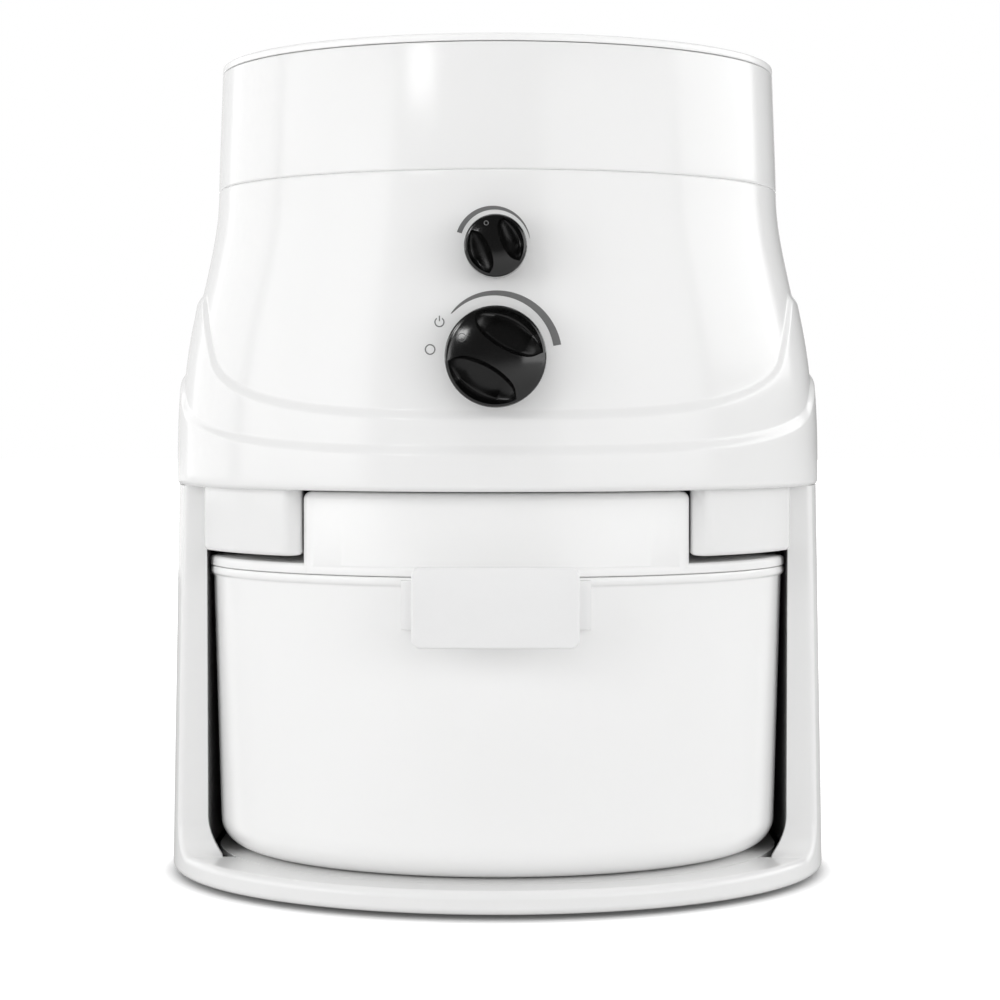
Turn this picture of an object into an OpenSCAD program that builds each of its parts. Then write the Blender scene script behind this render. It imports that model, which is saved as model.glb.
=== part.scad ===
// Electric impact grain mill: hopper on top, motor housing with two knobs, flour bowl below.
// Millimetres, +Z up, front of the mill towards -Y. The hopper, the milling heads and the
// motor share the vertical axis at the origin, and the feet stand on Z = 0.

/* [Housing] */
// Outer radius of the round top of the housing
ring_r = 120; // [112:0.5:128]
// How far each side of the skirt stands out past the round top
side_bulge = 15; // [13:0.5:17]
// How far the front of the skirt stands out past the round top
front_bulge = 0.6; // [0:0.1:3]
// Room behind the flour chute, from its bore to the back of the skirt
rear_room = 42; // [38:0.5:46]
// How much squarer than an oval the back of the body is
rear_square = 0.8; // [0.7:0.05:1]
// Height of the housing from its skirt to the seam under the hopper
housing_h = 125; // [118:0.5:134]
// Wall behind the front panel
housing_wall = 3; // [2:0.2:4]
// Inset of each of the two shoulders
tier_step = 1.7; // [1:0.1:2.4]
// Height of the sloped face of a shoulder
tier_rise = 3; // [2:0.2:4]
// Height of the upper shoulder over the skirt's edge, at the front
upper_tier_h = 28.7; // [25:0.5:32]
// Height of the upper shoulder over the skirt's edge, at the sides
upper_tier_side_h = 78; // [70:0.5:86]
// Height of the lower shoulder over the skirt's edge, at the front
lower_tier_h = 14.9; // [12:0.1:18]
// Height of the lower shoulder over the skirt's edge, at the sides
lower_tier_side_h = 45; // [40:0.5:50]
// Squareness of the curve that the shoulders follow round the front corners
tier_curve = 3.4; // [2.8:0.1:4]
// Number of cooling slots in the back
vent_count = 9; // [5:2:11]
// Width of a cooling slot
vent_w = 4; // [3:0.5:5]
// Height of a cooling slot
vent_h = 30; // [20:1:36]
// Distance from one cooling slot to the next
vent_pitch = 9; // [8:0.5:11]
// Height of the middle of the cooling slots over the skirt's edge
vent_rise = 49; // [44:1:54]
// Thickness of the floor plate that closes the housing
floor_t = 3; // [2.5:0.25:4]

/* [Base] */
// How far each side of the base stands out past the skirt
base_spread = 2.6; // [1.6:0.2:4]
// Height of the feet below the base
foot_h = 2; // [1.5:0.5:4]
// Radius of a foot
foot_r = 9; // [6:0.5:12]
// Height of the ledge in front of the bowl
ledge_z = 11.3; // [10:0.1:14]
// Wall of the lower shell
shell_wall = 2.5; // [2:0.1:3.5]
// How far the pillars' front faces lie in front of the milling axis
pillar_reach = 34; // [30:1:38]
// Width of a pillar, from the base's side to the opening
pillar_w = 18.3; // [16:0.1:21]
// Radius of the opening's lower corners
mouth_corner_r = 20; // [14:1:24]
// Radius of the sweep from pillar to ledge
sweep_r = 14; // [8:1:20]
// Thickness of the bay floor and the base pan
pan_t = 2.5; // [2:0.25:3]
// Width of the ledge from its front edge to the bay floor
ledge_w = 16; // [12:0.5:20]
// Thickness of the bay liner
liner_t = 2; // [1.5:0.25:2.5]
// Distance from the liner's back to the back of the base
liner_back = 20; // [18:0.5:22]
// Radius of the liner's rear corners
liner_corner_r = 66; // [64:1:72]
// Distance from each side of the base to the middle of its feet
foot_side = 57; // [48:1:64]
// Distance from the front of the base to the middle of the front feet
foot_front = 62; // [54:1:70]
// Distance from the back of the base to the middle of the rear feet
foot_back = 59; // [50:1:66]

/* [Flour bowl] */
// Gap between the rim and each side of the bay
rim_side_gap = 0.6; // [0.5:0.1:1.5]
// Gap between the rim and the back of the bay
rim_back_gap = 5; // [3:0.5:8]
// Distance from the front of the body to the front of the rim
rim_setback = 13; // [11:0.5:16]
// How much wider than the rim's parallel sides the oval of its front is
rim_oval = 3.4; // [2.6:0.1:4.2]
// Height of the bowl from its bottom to the seam with the lid
bowl_h = 121.2; // [110:0.2:130]
// Height of the bead under the rim
bead_h = 3.4; // [2.5:0.1:4.5]
// How far the bead stands out of the bowl's wall
bead_out = 1.3; // [0.8:0.1:1.8]
// Draft of the bowl's wall from rim to bottom
bowl_draft = 3.2; // [1.5:0.1:4.5]
// Radius round the bowl's bottom
bowl_bottom_r = 14; // [8:1:16]
// Wall of the bowl
bowl_wall = 2.6; // [2:0.1:3.5]

/* [Bowl handle] */
// Width of the grip plate
grip_w = 64.6; // [56:0.2:72]
// Height of the grip plate
grip_h = 31.2; // [26:0.2:34]
// Distance from the rim down to the grip plate's lower edge
grip_drop = 25.5; // [24:0.1:29]
// Thickness of the grip plate
grip_t = 3; // [2.5:0.25:4]
// How far the face of the grip plate stands in front of the rim
grip_stand = 25; // [22:0.5:28]
// Width over the two mounting flanges
flange_w = 75; // [72:0.5:82]
// Height of a mounting flange
flange_h = 19.5; // [16:0.5:22]

/* [Bowl lid] */
// Thickness of the lid's flange
lid_flange_t = 4.4; // [3.5:0.1:5]
// Half width of the raised box
box_half_w = 77.5; // [70:0.1:84]
// Corner radius along the box's upper edges
box_edge_r = 3.4; // [2:0.1:5]
// Wall of the raised box
box_wall = 2.2; // [1.8:0.1:3]
// Radius of the inlet port in the box's top
port_r = 16; // [14:0.5:17]
// Depth of the cup that hangs in the box
cup_depth = 34; // [24:1:40]
// Radius of that cup
cup_r = 30; // [24:1:34]
// Thickness of the filter foam
foam_t = 12; // [8:1:16]

/* [Guide rails] */
// Gap between the lid's flange and the rails above it
rail_gap = 3.1; // [2:0.1:4]
// Height of the rails
rail_h = 26.7; // [23:0.1:30]
// Gap between the lid's box and each rail
box_gap = 0.5; // [0.4:0.1:1.5]
// Gap between a rail and the side of the bay
rail_side_gap = 0.4; // [0.3:0.1:1]
// Set-back of the rails' front faces behind the skirt
rail_setback = 6; // [4:0.5:9]
// Radius of a rail's inner front edge
rail_edge_r = 7; // [3:0.5:10]

/* [Hopper] */
// Height of the hopper from the seam to its upper edge
hopper_h = 49.5; // [44:0.5:56]
// How much smaller in radius the hopper is at its upper edge
hopper_taper = 1.8; // [0.5:0.1:4]
// Wall of the hopper
hopper_wall = 2.6; // [2:0.1:3.5]
// Distance from the hopper's upper edge down to the funnel
funnel_drop = 19.5; // [16:0.5:24]
// Radius of the funnel's outlet
outlet_r = 8; // [7:0.5:10]
// Thickness of the lid's disc
hopper_lid_t = 3; // [2.5:0.25:4]
// Depth of the rim under the lid
hopper_lid_rim = 8; // [5:0.5:10]

/* [Controls] */
// Radius of the feed knob
feed_knob_r = 19.6; // [18:0.1:21]
// Distance between the axes of the two knobs
knob_spacing = 42.4; // [40:0.1:45]
// Radius of the speed knob
speed_knob_r = 12.1; // [11:0.1:13]
// Height of a knob from its back to its face
knob_h = 14; // [12:0.5:15]
// Depth of the finger recesses
recess_depth = 8; // [5:0.5:9]
// Width of the grip bar at its waist, as a share of the knob's radius
bar_share = 0.38; // [0.3:0.02:0.5]
// Radius of the feed and speed shafts
shaft_r = 3; // [2.5:0.1:3.5]
// Angle of the feed knob's pointer at rest, clockwise from straight up
feed_pointer = -60.5; // [-70:0.5:-50]
// Angle of the speed knob's pointer at rest, clockwise from straight up
speed_pointer = -22.7; // [-40:0.1:40]
// Half width of the control bracket
bracket_half_w = 32; // [30.5:0.5:32]
// Thickness of the control bracket and the gear plate
bracket_t = 2; // [1.5:0.25:2.5]

/* [Feed gears] */
// Module of the feed gears
gear_m = 1.5; // [1.5:0.1:1.5]
// Teeth on the pinion
pinion_n = 12; // [12:1:12]
// Teeth of the full wheel that the sector's lower arc belongs to
lower_n = 38; // [38:1:38]
// Teeth of the full wheel that the sector's upper arc belongs to
upper_n = 22; // [22:1:22]
// Pressure angle
pressure = 25; // [25:1:25]
// Thickness taken off each tooth for play
tooth_play = 0.16; // [0.12:0.02:0.24]
// Width of the gears
gear_w = 5; // [4:0.5:6]
// Travel of the gate from rest to fully open
gate_travel = 12.7; // [12.7:0.1:12.7]
// Radius of the hole in the gate
gate_hole_r = 6; // [5:0.25:6.2]
// Thickness of the gate
gate_t = 2.5; // [2:0.25:3]

/* [Mill] */
// Outer radius of the milling chamber
chamber_r = 62; // [60:0.5:63]
// Gap between the cooling fan and the chamber's underside
fan_gap = 2.5; // [1.5:0.5:4]
// Height of the throat between the chamber and the gate
throat_low_h = 5; // [4:0.5:7]
// Height of the chamber with its stationary head
chamber_h = 30; // [30:0.5:31]
// Thickness of the chamber's wall and bottom
chamber_wall = 3; // [2.5:0.25:3]
// Gap between the rotor and the chamber's wall
rotor_gap = 3; // [2:0.5:4]
// Thickness of the discs that carry the teeth
head_t = 4; // [3:0.5:4.5]
// Radial thickness of a tooth
tooth_t = 3.2; // [2.4:0.2:3.6]
// Radius of the rotor's smallest ring of teeth
first_ring_r = 16; // [14:0.5:18]
// Distance from the rotor's edge to its largest ring of teeth
last_ring_inset = 5; // [3:0.5:6]
// Teeth in each ring on the rotor
rotor_teeth = [10, 16, 24, 32];
// Teeth in each ring on the stationary head
stator_teeth = [14, 20, 28];
// Half width of the flour chute's bore
chute_half_w = 14; // [12:0.5:16]
// Depth of the flour chute's bore
chute_d = 24; // [20:0.5:26]

/* [Motor] */
// Radius of the motor shaft
motor_shaft_r = 4; // [3.5:0.1:4.5]
// Radius of the armature core
armature_r = 24; // [22:0.5:25]
// Air gap between armature and field core
air_gap = 0.6; // [0.4:0.1:1]
// Width of the field core
field_w = 84; // [80:1:88]
// Depth of the field core
field_d = 68; // [66:1:72]
// Height of the field core
field_h = 22; // [20:0.5:24]
// Radius of the motor brackets
motor_bracket_r = 40; // [39:0.5:42]
// Radius of the cooling fan
fan_r = 37; // [34:0.5:39]
// Radius of the cord gland's bore
gland_bore_r = 3.6; // [3:0.1:4.5]
// Height of the cord gland over the skirt's edge
gland_rise = 17; // [14:0.5:20]
// Thickness of the cord gland's flange
gland_flange_t = 3; // [2:0.5:4]

/* [Fits] */
// Gap between parts that slide or lift off
slide_gap = 0.3; // [0.25:0.05:0.4]
// Radial gap of a shaft that turns in a hole
running_gap = 0.05; // [0.04:0.01:0.08]
// Gap round a shaft that passes through a plate
pass_gap = 0.6; // [0.4:0.1:1]

/* [Hidden] */
$fn = 64;

// Columns round the moulded shells, and points along the front of the bowl
columns = 96;
front_points = 32;
corner_points = 8;

// Plan of the body, from the round top outwards
top_inset = 2 * tier_step;
skirt_half_w = ring_r + top_inset + side_bulge;
body_front = ring_r + top_inset + front_bulge;
chute_y = chamber_r + 5;
body_rear = chute_y + chute_d + rear_room;
rear_bulge = body_rear - ring_r - top_inset;
base_half_w = skirt_half_w + base_spread;
mouth_half_w = base_half_w - pillar_w;
pillar_y = -pillar_reach;
liner_rear = body_rear - liner_back;
panel_y = -ring_r;
far = 400;

// Heights, from the feet upwards
pan_z = foot_h;
bay_floor_z = ledge_z - pan_t;
bowl_z = ledge_z + slide_gap;
rim_z = bowl_z + bowl_h;
lid_z = rim_z;
flange_top_z = lid_z + lid_flange_t;
rail_z = flange_top_z + rail_gap;
skirt_z = rail_z + rail_h;
floor_top_z = skirt_z + floor_t;
upper_tier_z = skirt_z + upper_tier_h;
upper_tier_side_z = skirt_z + upper_tier_side_h;
lower_tier_z = skirt_z + lower_tier_h;
lower_tier_side_z = skirt_z + lower_tier_side_h;
vent_z = skirt_z + vent_rise;
gland_z = skirt_z + gland_rise;
seam_z = skirt_z + housing_h;
hopper_top_z = seam_z + hopper_h;
hopper_top_r = ring_r - hopper_taper;
funnel_z = hopper_top_z - funnel_drop;

// Bowl, lid and rails
wall_inset = bead_out;
rim_side = mouth_half_w - rim_side_gap;
rim_half_w = rim_side + rim_oval;
rim_front = body_front - rim_setback;
rim_rear = liner_rear - rim_back_gap;
rim_corner_r = liner_corner_r;
grip_z = rim_z - grip_drop;
grip_reach = rim_front + grip_stand;
box_top_z = skirt_z - 0.8;
box_front = rim_front - 0.6;
box_rear = rim_rear - 6;
box_corner_r = 9;
box_side_r = 5;
rail_inner = box_half_w + box_gap;
rail_outer = mouth_half_w - rail_side_gap;
port_y = chute_y + chute_d / 2;
filter_half_w = box_half_w - 33.5;
filter_half_d = 34;
filter_y = -filter_half_d - 2;
boss_inset = 9;
web_l = 9;

// Motor, from the floor plate upwards
lower_bearing_z = floor_top_z + 3;
bearing_h = 7;
bearing_r = motor_shaft_r + 7;
lower_disc_z = floor_top_z + 7;
bracket_disc_t = 3.5;
core_z = lower_disc_z + 22;
upper_disc_z = core_z + field_h + 7;
fan_z = upper_disc_z + bracket_disc_t + 1.5;
fan_h = 4.5;
commutator_r = motor_shaft_r + 8;
commutator_z = lower_disc_z + bracket_disc_t + 1.5;
commutator_h = 9;
brush_z = lower_disc_z + bracket_disc_t + 5;
mount_r = 6;
mount_offset = 30;
leg_offset = field_d / 2 + 7;
leg_r = 4;

// Milling chamber, throat and gate
chamber_z = fan_z + fan_h + fan_gap;
rotor_r = chamber_r - chamber_wall - rotor_gap;
rotor_z = chamber_z + chamber_wall + 3;
stator_head_t = head_t + 4;
ring_pitch = (rotor_r - last_ring_inset - first_ring_r) / (len(rotor_teeth) - 1);
throat_low_z = chamber_z + chamber_h;
gate_z = throat_low_z + throat_low_h;
gate_half_d = 13;
throat_high_z = gate_z + gate_t + 4.5;
throat_half_w = 22;
throat_half_d = 17;

// Feed train, from the gate down to the feed knob's shaft
addendum = 0.8 * gear_m;
dedendum = 1.1 * gear_m;
rack_z = gate_z - 1.7;
sector_z = rack_z - gear_m * upper_n / 2;
feed_z = sector_z - gear_m * (pinion_n + lower_n) / 2;
speed_z = feed_z + knob_spacing;
knob_back_y = panel_y - front_bulge - 0.5;
bracket_y = panel_y + housing_wall + 6;
bracket_low_z = feed_z - 16;
bracket_high_z = speed_z + 19;
gear_y = bracket_y + 22;
gear_plate_y = gear_y + 3;
post_r = 3;
stud_r = 3;
board_w = 60;
board_d = 34;
board_y = panel_y + 22;
board_rise = 4;

// Shapes used by several parts

// A closed solid through rings of points that run anticlockwise seen from above, lowest first
module loft(rings) {
    n = len(rings[0]);
    rows = len(rings);
    sides = [for (r = [0:rows - 2], i = [0:n - 1]) let (j = (i + 1) % n)
        each [[r * n + i, (r + 1) * n + i, (r + 1) * n + j], [r * n + i, (r + 1) * n + j, r * n + j]]];
    low_cap = [for (i = [0:n - 1]) i];
    high_cap = [for (i = [n - 1:-1:0]) (rows - 1) * n + i];
    polyhedron([for (ring = rings) each ring], concat(sides, [low_cap, high_cap]));
}

// Sketch X,Y becomes X,Z, and the extrusion runs forwards from the plane at y
module facing_front(y, height) {
    translate([0, y, 0]) rotate([90, 0, 0]) linear_extrude(height = height) children();
}

// A cylinder along Y from y_front to y_back at height z
module bar_y(r, y_front, y_back, x, z) {
    translate([x, y_back, z]) rotate([90, 0, 0]) cylinder(r = r, h = y_back - y_front);
}

module rounded_rect(w, d, r) {
    union() {
        square([w, d - 2 * r], center = true);
        square([w - 2 * r, d], center = true);
        for (x = [-1, 1], y = [-1, 1]) translate([x * (w / 2 - r), y * (d / 2 - r)]) circle(r = r);
    }
}

// Share of the skirt's flare left at height z: 1 at the skirt, 0 at the seam
function flare(z) = (1 + cos(180 * pow(min(1, max(0, (z - skirt_z) / (seam_z - skirt_z))), 1.5))) / 2;
function signed_pow(v, e) = (v < 0 ? -1 : 1) * pow(abs(v), e);

// One point of the housing's outline at height z, angle phi from the front, inset from the skirt
function housing_point(z, phi, inset) =
    let (f = flare(z), e = 2 / (2 + rear_square * f), rear = cos(phi) < 0,
        a = ring_r + top_inset + side_bulge * f - inset,
        b = ring_r + top_inset - inset
            + (rear ? rear_bulge : front_bulge) * f)
    [a * (rear ? signed_pow(sin(phi), e) : sin(phi)),
        -b * (rear ? signed_pow(cos(phi), e) : cos(phi)), z];

// Height of a shoulder: level at the front, up round the front corners, level along the sides
function tier_height(phi, low, high, half_w) =
    let (x = min(1, abs(sin(phi)) * skirt_half_w / half_w), front = cos(phi) > 0)
    front && x < 1 ? high - (high - low) * pow(1 - pow(x, tier_curve), 1 / tier_curve) : high;
// The same, averaged over a few degrees so that the curve runs smoothly into the level sides
function soft_tier(phi, low, high, half_w) =
    let (spread = [-6, -3, 0, 3, 6])
    [for (s = spread) tier_height(phi + s, low, high, half_w)] * [for (s = spread) 1 / len(spread)];
function lower_tier(phi) = soft_tier(phi, lower_tier_z, lower_tier_side_z, skirt_half_w * 0.985);
function upper_tier(phi) = soft_tier(phi, upper_tier_z, upper_tier_side_z, skirt_half_w * 0.925);
function column_angle(i) = 360 * i / columns;
function housing_ring(heights, inset) =
    [for (i = [0:columns - 1]) housing_point(heights[i], column_angle(i), inset)];
function level(z) = [for (i = [0:columns - 1]) z];
function tier_row(upper, rise) =
    [for (i = [0:columns - 1]) (upper ? upper_tier(column_angle(i)) : lower_tier(column_angle(i))) + rise];
// Rows above the upper shoulder, a share of the way up to the seam
function panel_row(share) =
    [for (i = [0:columns - 1]) let (low = upper_tier(column_angle(i)) + tier_rise) low + (seam_z - low) * share];

// Outline of the base at a half width, oval in front and squarer behind
function base_ring(a, front, rear, z) = [for (i = [0:columns - 1])
    let (phi = column_angle(i), back = cos(phi) < 0, e = 2 / (2 + rear_square))
    [a * (back ? signed_pow(sin(phi), e) : sin(phi)),
        -(back ? rear * signed_pow(cos(phi), e) : front * cos(phi)), z]];
function shell_ring(inset, z) =
    let (a = base_half_w - (base_half_w - skirt_half_w + 0.7) * max(0, z - pan_z) / (skirt_z - pan_z) - inset,
        lean = (base_half_w - inset - a))
    base_ring(a, body_front - 0.4 * lean - inset, body_rear - 0.4 * lean - inset, z);

// Outline of bowl and lid, inset from the rim: oval front, parallel sides, round rear corners
function bowl_outline(inset) =
    let (a = rim_half_w - inset, b = rim_front - inset, w = rim_side - inset,
        end = asin(w / a), r = rim_corner_r - inset, yc = rim_rear - inset - r, xc = w - r)
    concat([for (i = [0:front_points]) let (t = -end + 2 * end * i / front_points) [a * sin(t), -b * cos(t)]],
        [for (i = [0:corner_points]) let (t = 90 * i / corner_points) [xc + r * cos(t), yc + r * sin(t)]],
        [for (i = [0:corner_points]) let (t = 90 + 90 * i / corner_points) [-xc + r * cos(t), yc + r * sin(t)]]);
function at_height(outline, z) = [for (p = outline) [p[0], p[1], z]];
function bowl_ring(inset, z) = at_height(bowl_outline(inset), z);
// Inset of the bowl's wall at height z, with the round bottom edge
function wall_draft(z) = wall_inset + bowl_draft * (rim_z - z) / (rim_z - bowl_z);
function bottom_rows(r, z0, extra) = [for (i = [0:5]) let (t = 90 * i / 5)
    bowl_ring(wall_draft(z0 + r) + extra + r * (1 - sin(t)), z0 + r * (1 - cos(t)))];

// Housing

module housing_skin() {
    loft([
        housing_ring(level(skirt_z), 2),
        housing_ring(level(skirt_z + 0.8), 0.5),
        housing_ring(level(skirt_z + 2.4), 0),
        housing_ring(tier_row(false, -1.6), 0.05),
        housing_ring(tier_row(false, -0.2), 0.45),
        housing_ring(tier_row(false, tier_rise - 0.8), tier_step - 0.25),
        housing_ring(tier_row(false, tier_rise), tier_step),
        housing_ring(tier_row(true, -1.6), tier_step + 0.05),
        housing_ring(tier_row(true, -0.2), tier_step + 0.45),
        housing_ring(tier_row(true, tier_rise - 0.8), top_inset - 0.25),
        housing_ring(tier_row(true, tier_rise), top_inset),
        housing_ring(panel_row(0.25), top_inset),
        housing_ring(panel_row(0.5), top_inset),
        housing_ring(panel_row(0.75), top_inset),
        housing_ring(level(seam_z), top_inset)
    ]);
}

function cavity_inset() = top_inset + housing_wall;

module housing_cavity() {
    heights = [skirt_z - 1, skirt_z + 20, skirt_z + 45, skirt_z + 65, skirt_z + 85, skirt_z + 105, seam_z + 1];
    loft([for (z = heights) housing_ring(level(z), cavity_inset())]);
}

// The four screw places of the housing, each with its own +X pointing outwards
module housing_screw_places() {
    for (phi = [45:90:315]) {
        place = housing_point(floor_top_z, phi, cavity_inset() + boss_inset);
        translate([place[0], place[1], 0]) rotate(atan2(place[1], place[0])) children();
    }
}

module motor_housing() {
    color("white")
    difference() {
        union() {
            difference() {
                housing_skin();
                housing_cavity();
            }
            // Bosses that the floor plate is screwed to, with webs to the wall
            housing_screw_places() {
                translate([0, 0, floor_top_z]) cylinder(r = 5, h = 24);
                translate([3, -1.2, floor_top_z]) cube([web_l, 2.4, 24]);
            }
        }
        housing_screw_places() translate([0, 0, floor_top_z - 1]) cylinder(r = 1.6, h = 22);
        bar_y(shaft_r + 1, panel_y - 5, bracket_y, 0, feed_z);
        bar_y(shaft_r + 1, panel_y - 5, bracket_y, 0, speed_z);
        for (i = [0:vent_count - 1]) translate([(i - (vent_count - 1) / 2) * vent_pitch, 0, vent_z]) {
            translate([-vent_w / 2, chute_y + chute_d, -vent_h / 2]) cube([vent_w, 80, vent_h]);
        }
        bar_y(gland_bore_r + 2.4, body_rear - 30, body_rear + 5, 0, gland_z);
    }
}

module floor_outline(gap) {
    polygon([for (p = housing_ring(level(floor_top_z), cavity_inset() + gap)) [p[0], p[1]]]);
}

module housing_floor() {
    color("white")
    difference() {
        union() {
            translate([0, 0, skirt_z]) linear_extrude(height = floor_t) floor_outline(slide_gap);
            // Stand-offs of the speed board
            for (x = [-1, 1], y = [4, board_d - 4])
                translate([x * (board_w / 2 - 6), board_y + y, floor_top_z]) cylinder(r = 3, h = board_rise);
        }
        translate([-chute_half_w - 2 - slide_gap, chute_y - 2 - slide_gap, skirt_z - 1])
            cube([2 * (chute_half_w + 2 + slide_gap), chute_d + 4 + 2 * slide_gap, floor_t + 2]);
        housing_screw_places() translate([0, 0, skirt_z - 1]) cylinder(r = 1.8, h = floor_t + 2);
        housing_screw_places() translate([0, 0, skirt_z - 1]) cylinder(r = 3.3, h = 2.6);
        // Air outlets under the motor
        for (a = [0:45:315]) rotate(a) translate([14, -1.5, skirt_z - 1]) cube([22, 3, floor_t + 2]);
    }
}

module rail_plan() {
    rail_a = skirt_half_w - rail_setback;
    rail_b = body_front - rail_setback;
    start = asin(rail_inner / rail_a);
    end = asin(rail_outer / rail_a);
    r = rail_edge_r;
    corner = [rail_inner + r, -rail_b * cos(asin((rail_inner + r) / rail_a)) + r];
    front = [for (i = [0:10]) let (t = end + (start - end) * i / 10) [rail_a * sin(t), -rail_b * cos(t)]];
    kept = [for (p = front) if (p[0] > rail_inner + r * 0.75) p];
    arc = [for (i = [0:5]) let (t = -100 - 80 * i / 5) corner + r * [cos(t), sin(t)]];
    polygon(concat([[rail_outer, liner_rear - liner_corner_r - 6]], kept, arc,
        [[rail_inner, liner_rear - liner_corner_r - 6]]));
}

module guide_rail() {
    difference() {
        union() {
            translate([0, 0, rail_z + 1.2]) linear_extrude(height = skirt_z - rail_z - 1.2) rail_plan();
            translate([0.6, 0.6, rail_z]) linear_extrude(height = 1.3) intersection() {
                rail_plan();
                translate([-1.2, 0]) rail_plan();
            }
        }
        // The rail is a hollow moulding, open towards the floor plate
        translate([rail_inner + 4, -44, rail_z + 3])
            cube([rail_outer - rail_inner - 8, liner_rear - liner_corner_r + 30, skirt_z - rail_z]);
    }
}

module guide_rail_right() {
    color("white") guide_rail();
}

module guide_rail_left() {
    color("white") mirror([1, 0, 0]) guide_rail();
}

module cord_gland() {
    gland_r = gland_bore_r + 2.4 - slide_gap / 2;
    color("dimgray")
    difference() {
        union() {
            bar_y(gland_r, body_rear - 14, body_rear + 1, 0, gland_z);
            bar_y(gland_r + 3, body_rear + 0.6, body_rear + gland_flange_t, 0, gland_z);
            bar_y(gland_r + 2, body_rear - 14, body_rear - 9.5, 0, gland_z);
        }
        bar_y(gland_bore_r, body_rear - 20, body_rear + gland_flange_t + 1, 0, gland_z);
    }
}

module housing_screws() {
    color("silver") housing_screw_places() {
        translate([0, 0, skirt_z + 0.2]) cylinder(r = 3, h = 1.4);
        translate([0, 0, skirt_z + 1.2]) cylinder(r = 1.5, h = 17);
    }
}

// Lower shell, bay and base

module mouth_profile(height) {
    union() {
        translate([-mouth_half_w, ledge_z + mouth_corner_r - 4.3]) square([2 * mouth_half_w, height]);
        translate([-mouth_half_w + mouth_corner_r, ledge_z])
            square([2 * (mouth_half_w - mouth_corner_r), height]);
        intersection() {
            for (x = [-1, 1]) translate([x * (mouth_half_w - mouth_corner_r), ledge_z + mouth_corner_r - 4.3])
                circle(r = mouth_corner_r);
            translate([-far / 2, ledge_z]) square([far, far]);
        }
    }
}

// Everything in front of the pillars and above the ledge, with the round sweep at the corner
module front_void() {
    sweep = [for (t = [0:7.5:90]) [pillar_y - sweep_r, ledge_z + sweep_r] + sweep_r * [sin(t), -cos(t)]];
    rotate([90, 0, 90]) translate([0, 0, -far / 2]) linear_extrude(height = far)
        polygon(concat([[-far, far], [-far, ledge_z]], sweep, [[pillar_y, far]]));
}

module bay_floor_plan(gap) {
    a = base_half_w - ledge_w - 4 - gap;
    b = body_front - ledge_w - gap;
    w = mouth_half_w - 2 - gap;
    start = asin(w / a);
    rear = liner_rear + liner_t - gap;
    polygon(concat([for (i = [0:36]) let (t = -start + 2 * start * i / 36) [a * sin(t), -b * cos(t)]],
        [[w, rear - liner_corner_r], [w - liner_corner_r * 0.3, rear - liner_corner_r * 0.3],
            [w - liner_corner_r, rear], [-w + liner_corner_r, rear],
            [-w + liner_corner_r * 0.3, rear - liner_corner_r * 0.3], [-w, rear - liner_corner_r]]));
}

module lower_shell() {
    // Rows with the round lower edge
    outer = [shell_ring(2.2, pan_z), shell_ring(0.7, pan_z + 0.8), shell_ring(0, pan_z + 2.6),
        shell_ring(0, pan_z + 60), shell_ring(0, skirt_z - 3), shell_ring(0.3, skirt_z - 1), shell_ring(1, skirt_z)];
    inner = [shell_ring(shell_wall + 0.6, pan_z - 1), shell_ring(shell_wall, pan_z + 60),
        shell_ring(shell_wall, skirt_z + 1)];
    color("white")
    difference() {
        loft(outer);
        // Hollow behind the pillars
        difference() {
            loft(inner);
            translate([-far / 2, -far, -1]) cube([far, far + pillar_y + shell_wall, far]);
        }
        // Hollow under the ledge
        difference() {
            loft([shell_ring(shell_wall + 0.6, pan_z - 1), shell_ring(shell_wall + 0.6, bay_floor_z - shell_wall)]);
            translate([-far / 2, pillar_y - 0.1, -1]) cube([far, far, far]);
        }
        // Seat of the base pan
        translate([0, 0, pan_z - 1]) linear_extrude(height = pan_t + slide_gap + 1)
            polygon([for (p = shell_ring(shell_wall + 0.4, pan_z)) [p[0], p[1]]]);
        front_void();
        facing_front(pillar_y + shell_wall + 1, 30) mouth_profile(skirt_z);
        translate([0, 0, bay_floor_z]) linear_extrude(height = pan_t + 0.01) bay_floor_plan(0);
    }
}

// Plan of the bay: straight sides and round rear corners, from behind the pillars backwards
module bay_plan(w, rear, r) {
    front = pillar_y + shell_wall + slide_gap / 2;
    polygon(concat([[-w, front], [w, front]],
        [for (i = [0:10]) let (t = 9 * i) [w - r + r * cos(t), rear - r + r * sin(t)]],
        [for (i = [0:10]) let (t = 90 + 9 * i) [-w + r + r * cos(t), rear - r + r * sin(t)]]));
}

module bay_liner() {
    color("gainsboro")
    translate([0, 0, ledge_z]) linear_extrude(height = skirt_z - ledge_z) difference() {
        bay_plan(mouth_half_w + liner_t, liner_rear + liner_t, liner_corner_r + liner_t);
        translate([0, -1]) bay_plan(mouth_half_w, liner_rear + 1, liner_corner_r);
    }
}

module bay_floor() {
    color("whitesmoke")
    translate([0, 0, bay_floor_z]) linear_extrude(height = pan_t) bay_floor_plan(slide_gap);
}

module base_screw_places() {
    for (x = [-1, 1], y = [12, body_rear - 55]) translate([x * (mouth_half_w - 18.7), y, 0]) children();
}

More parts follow.
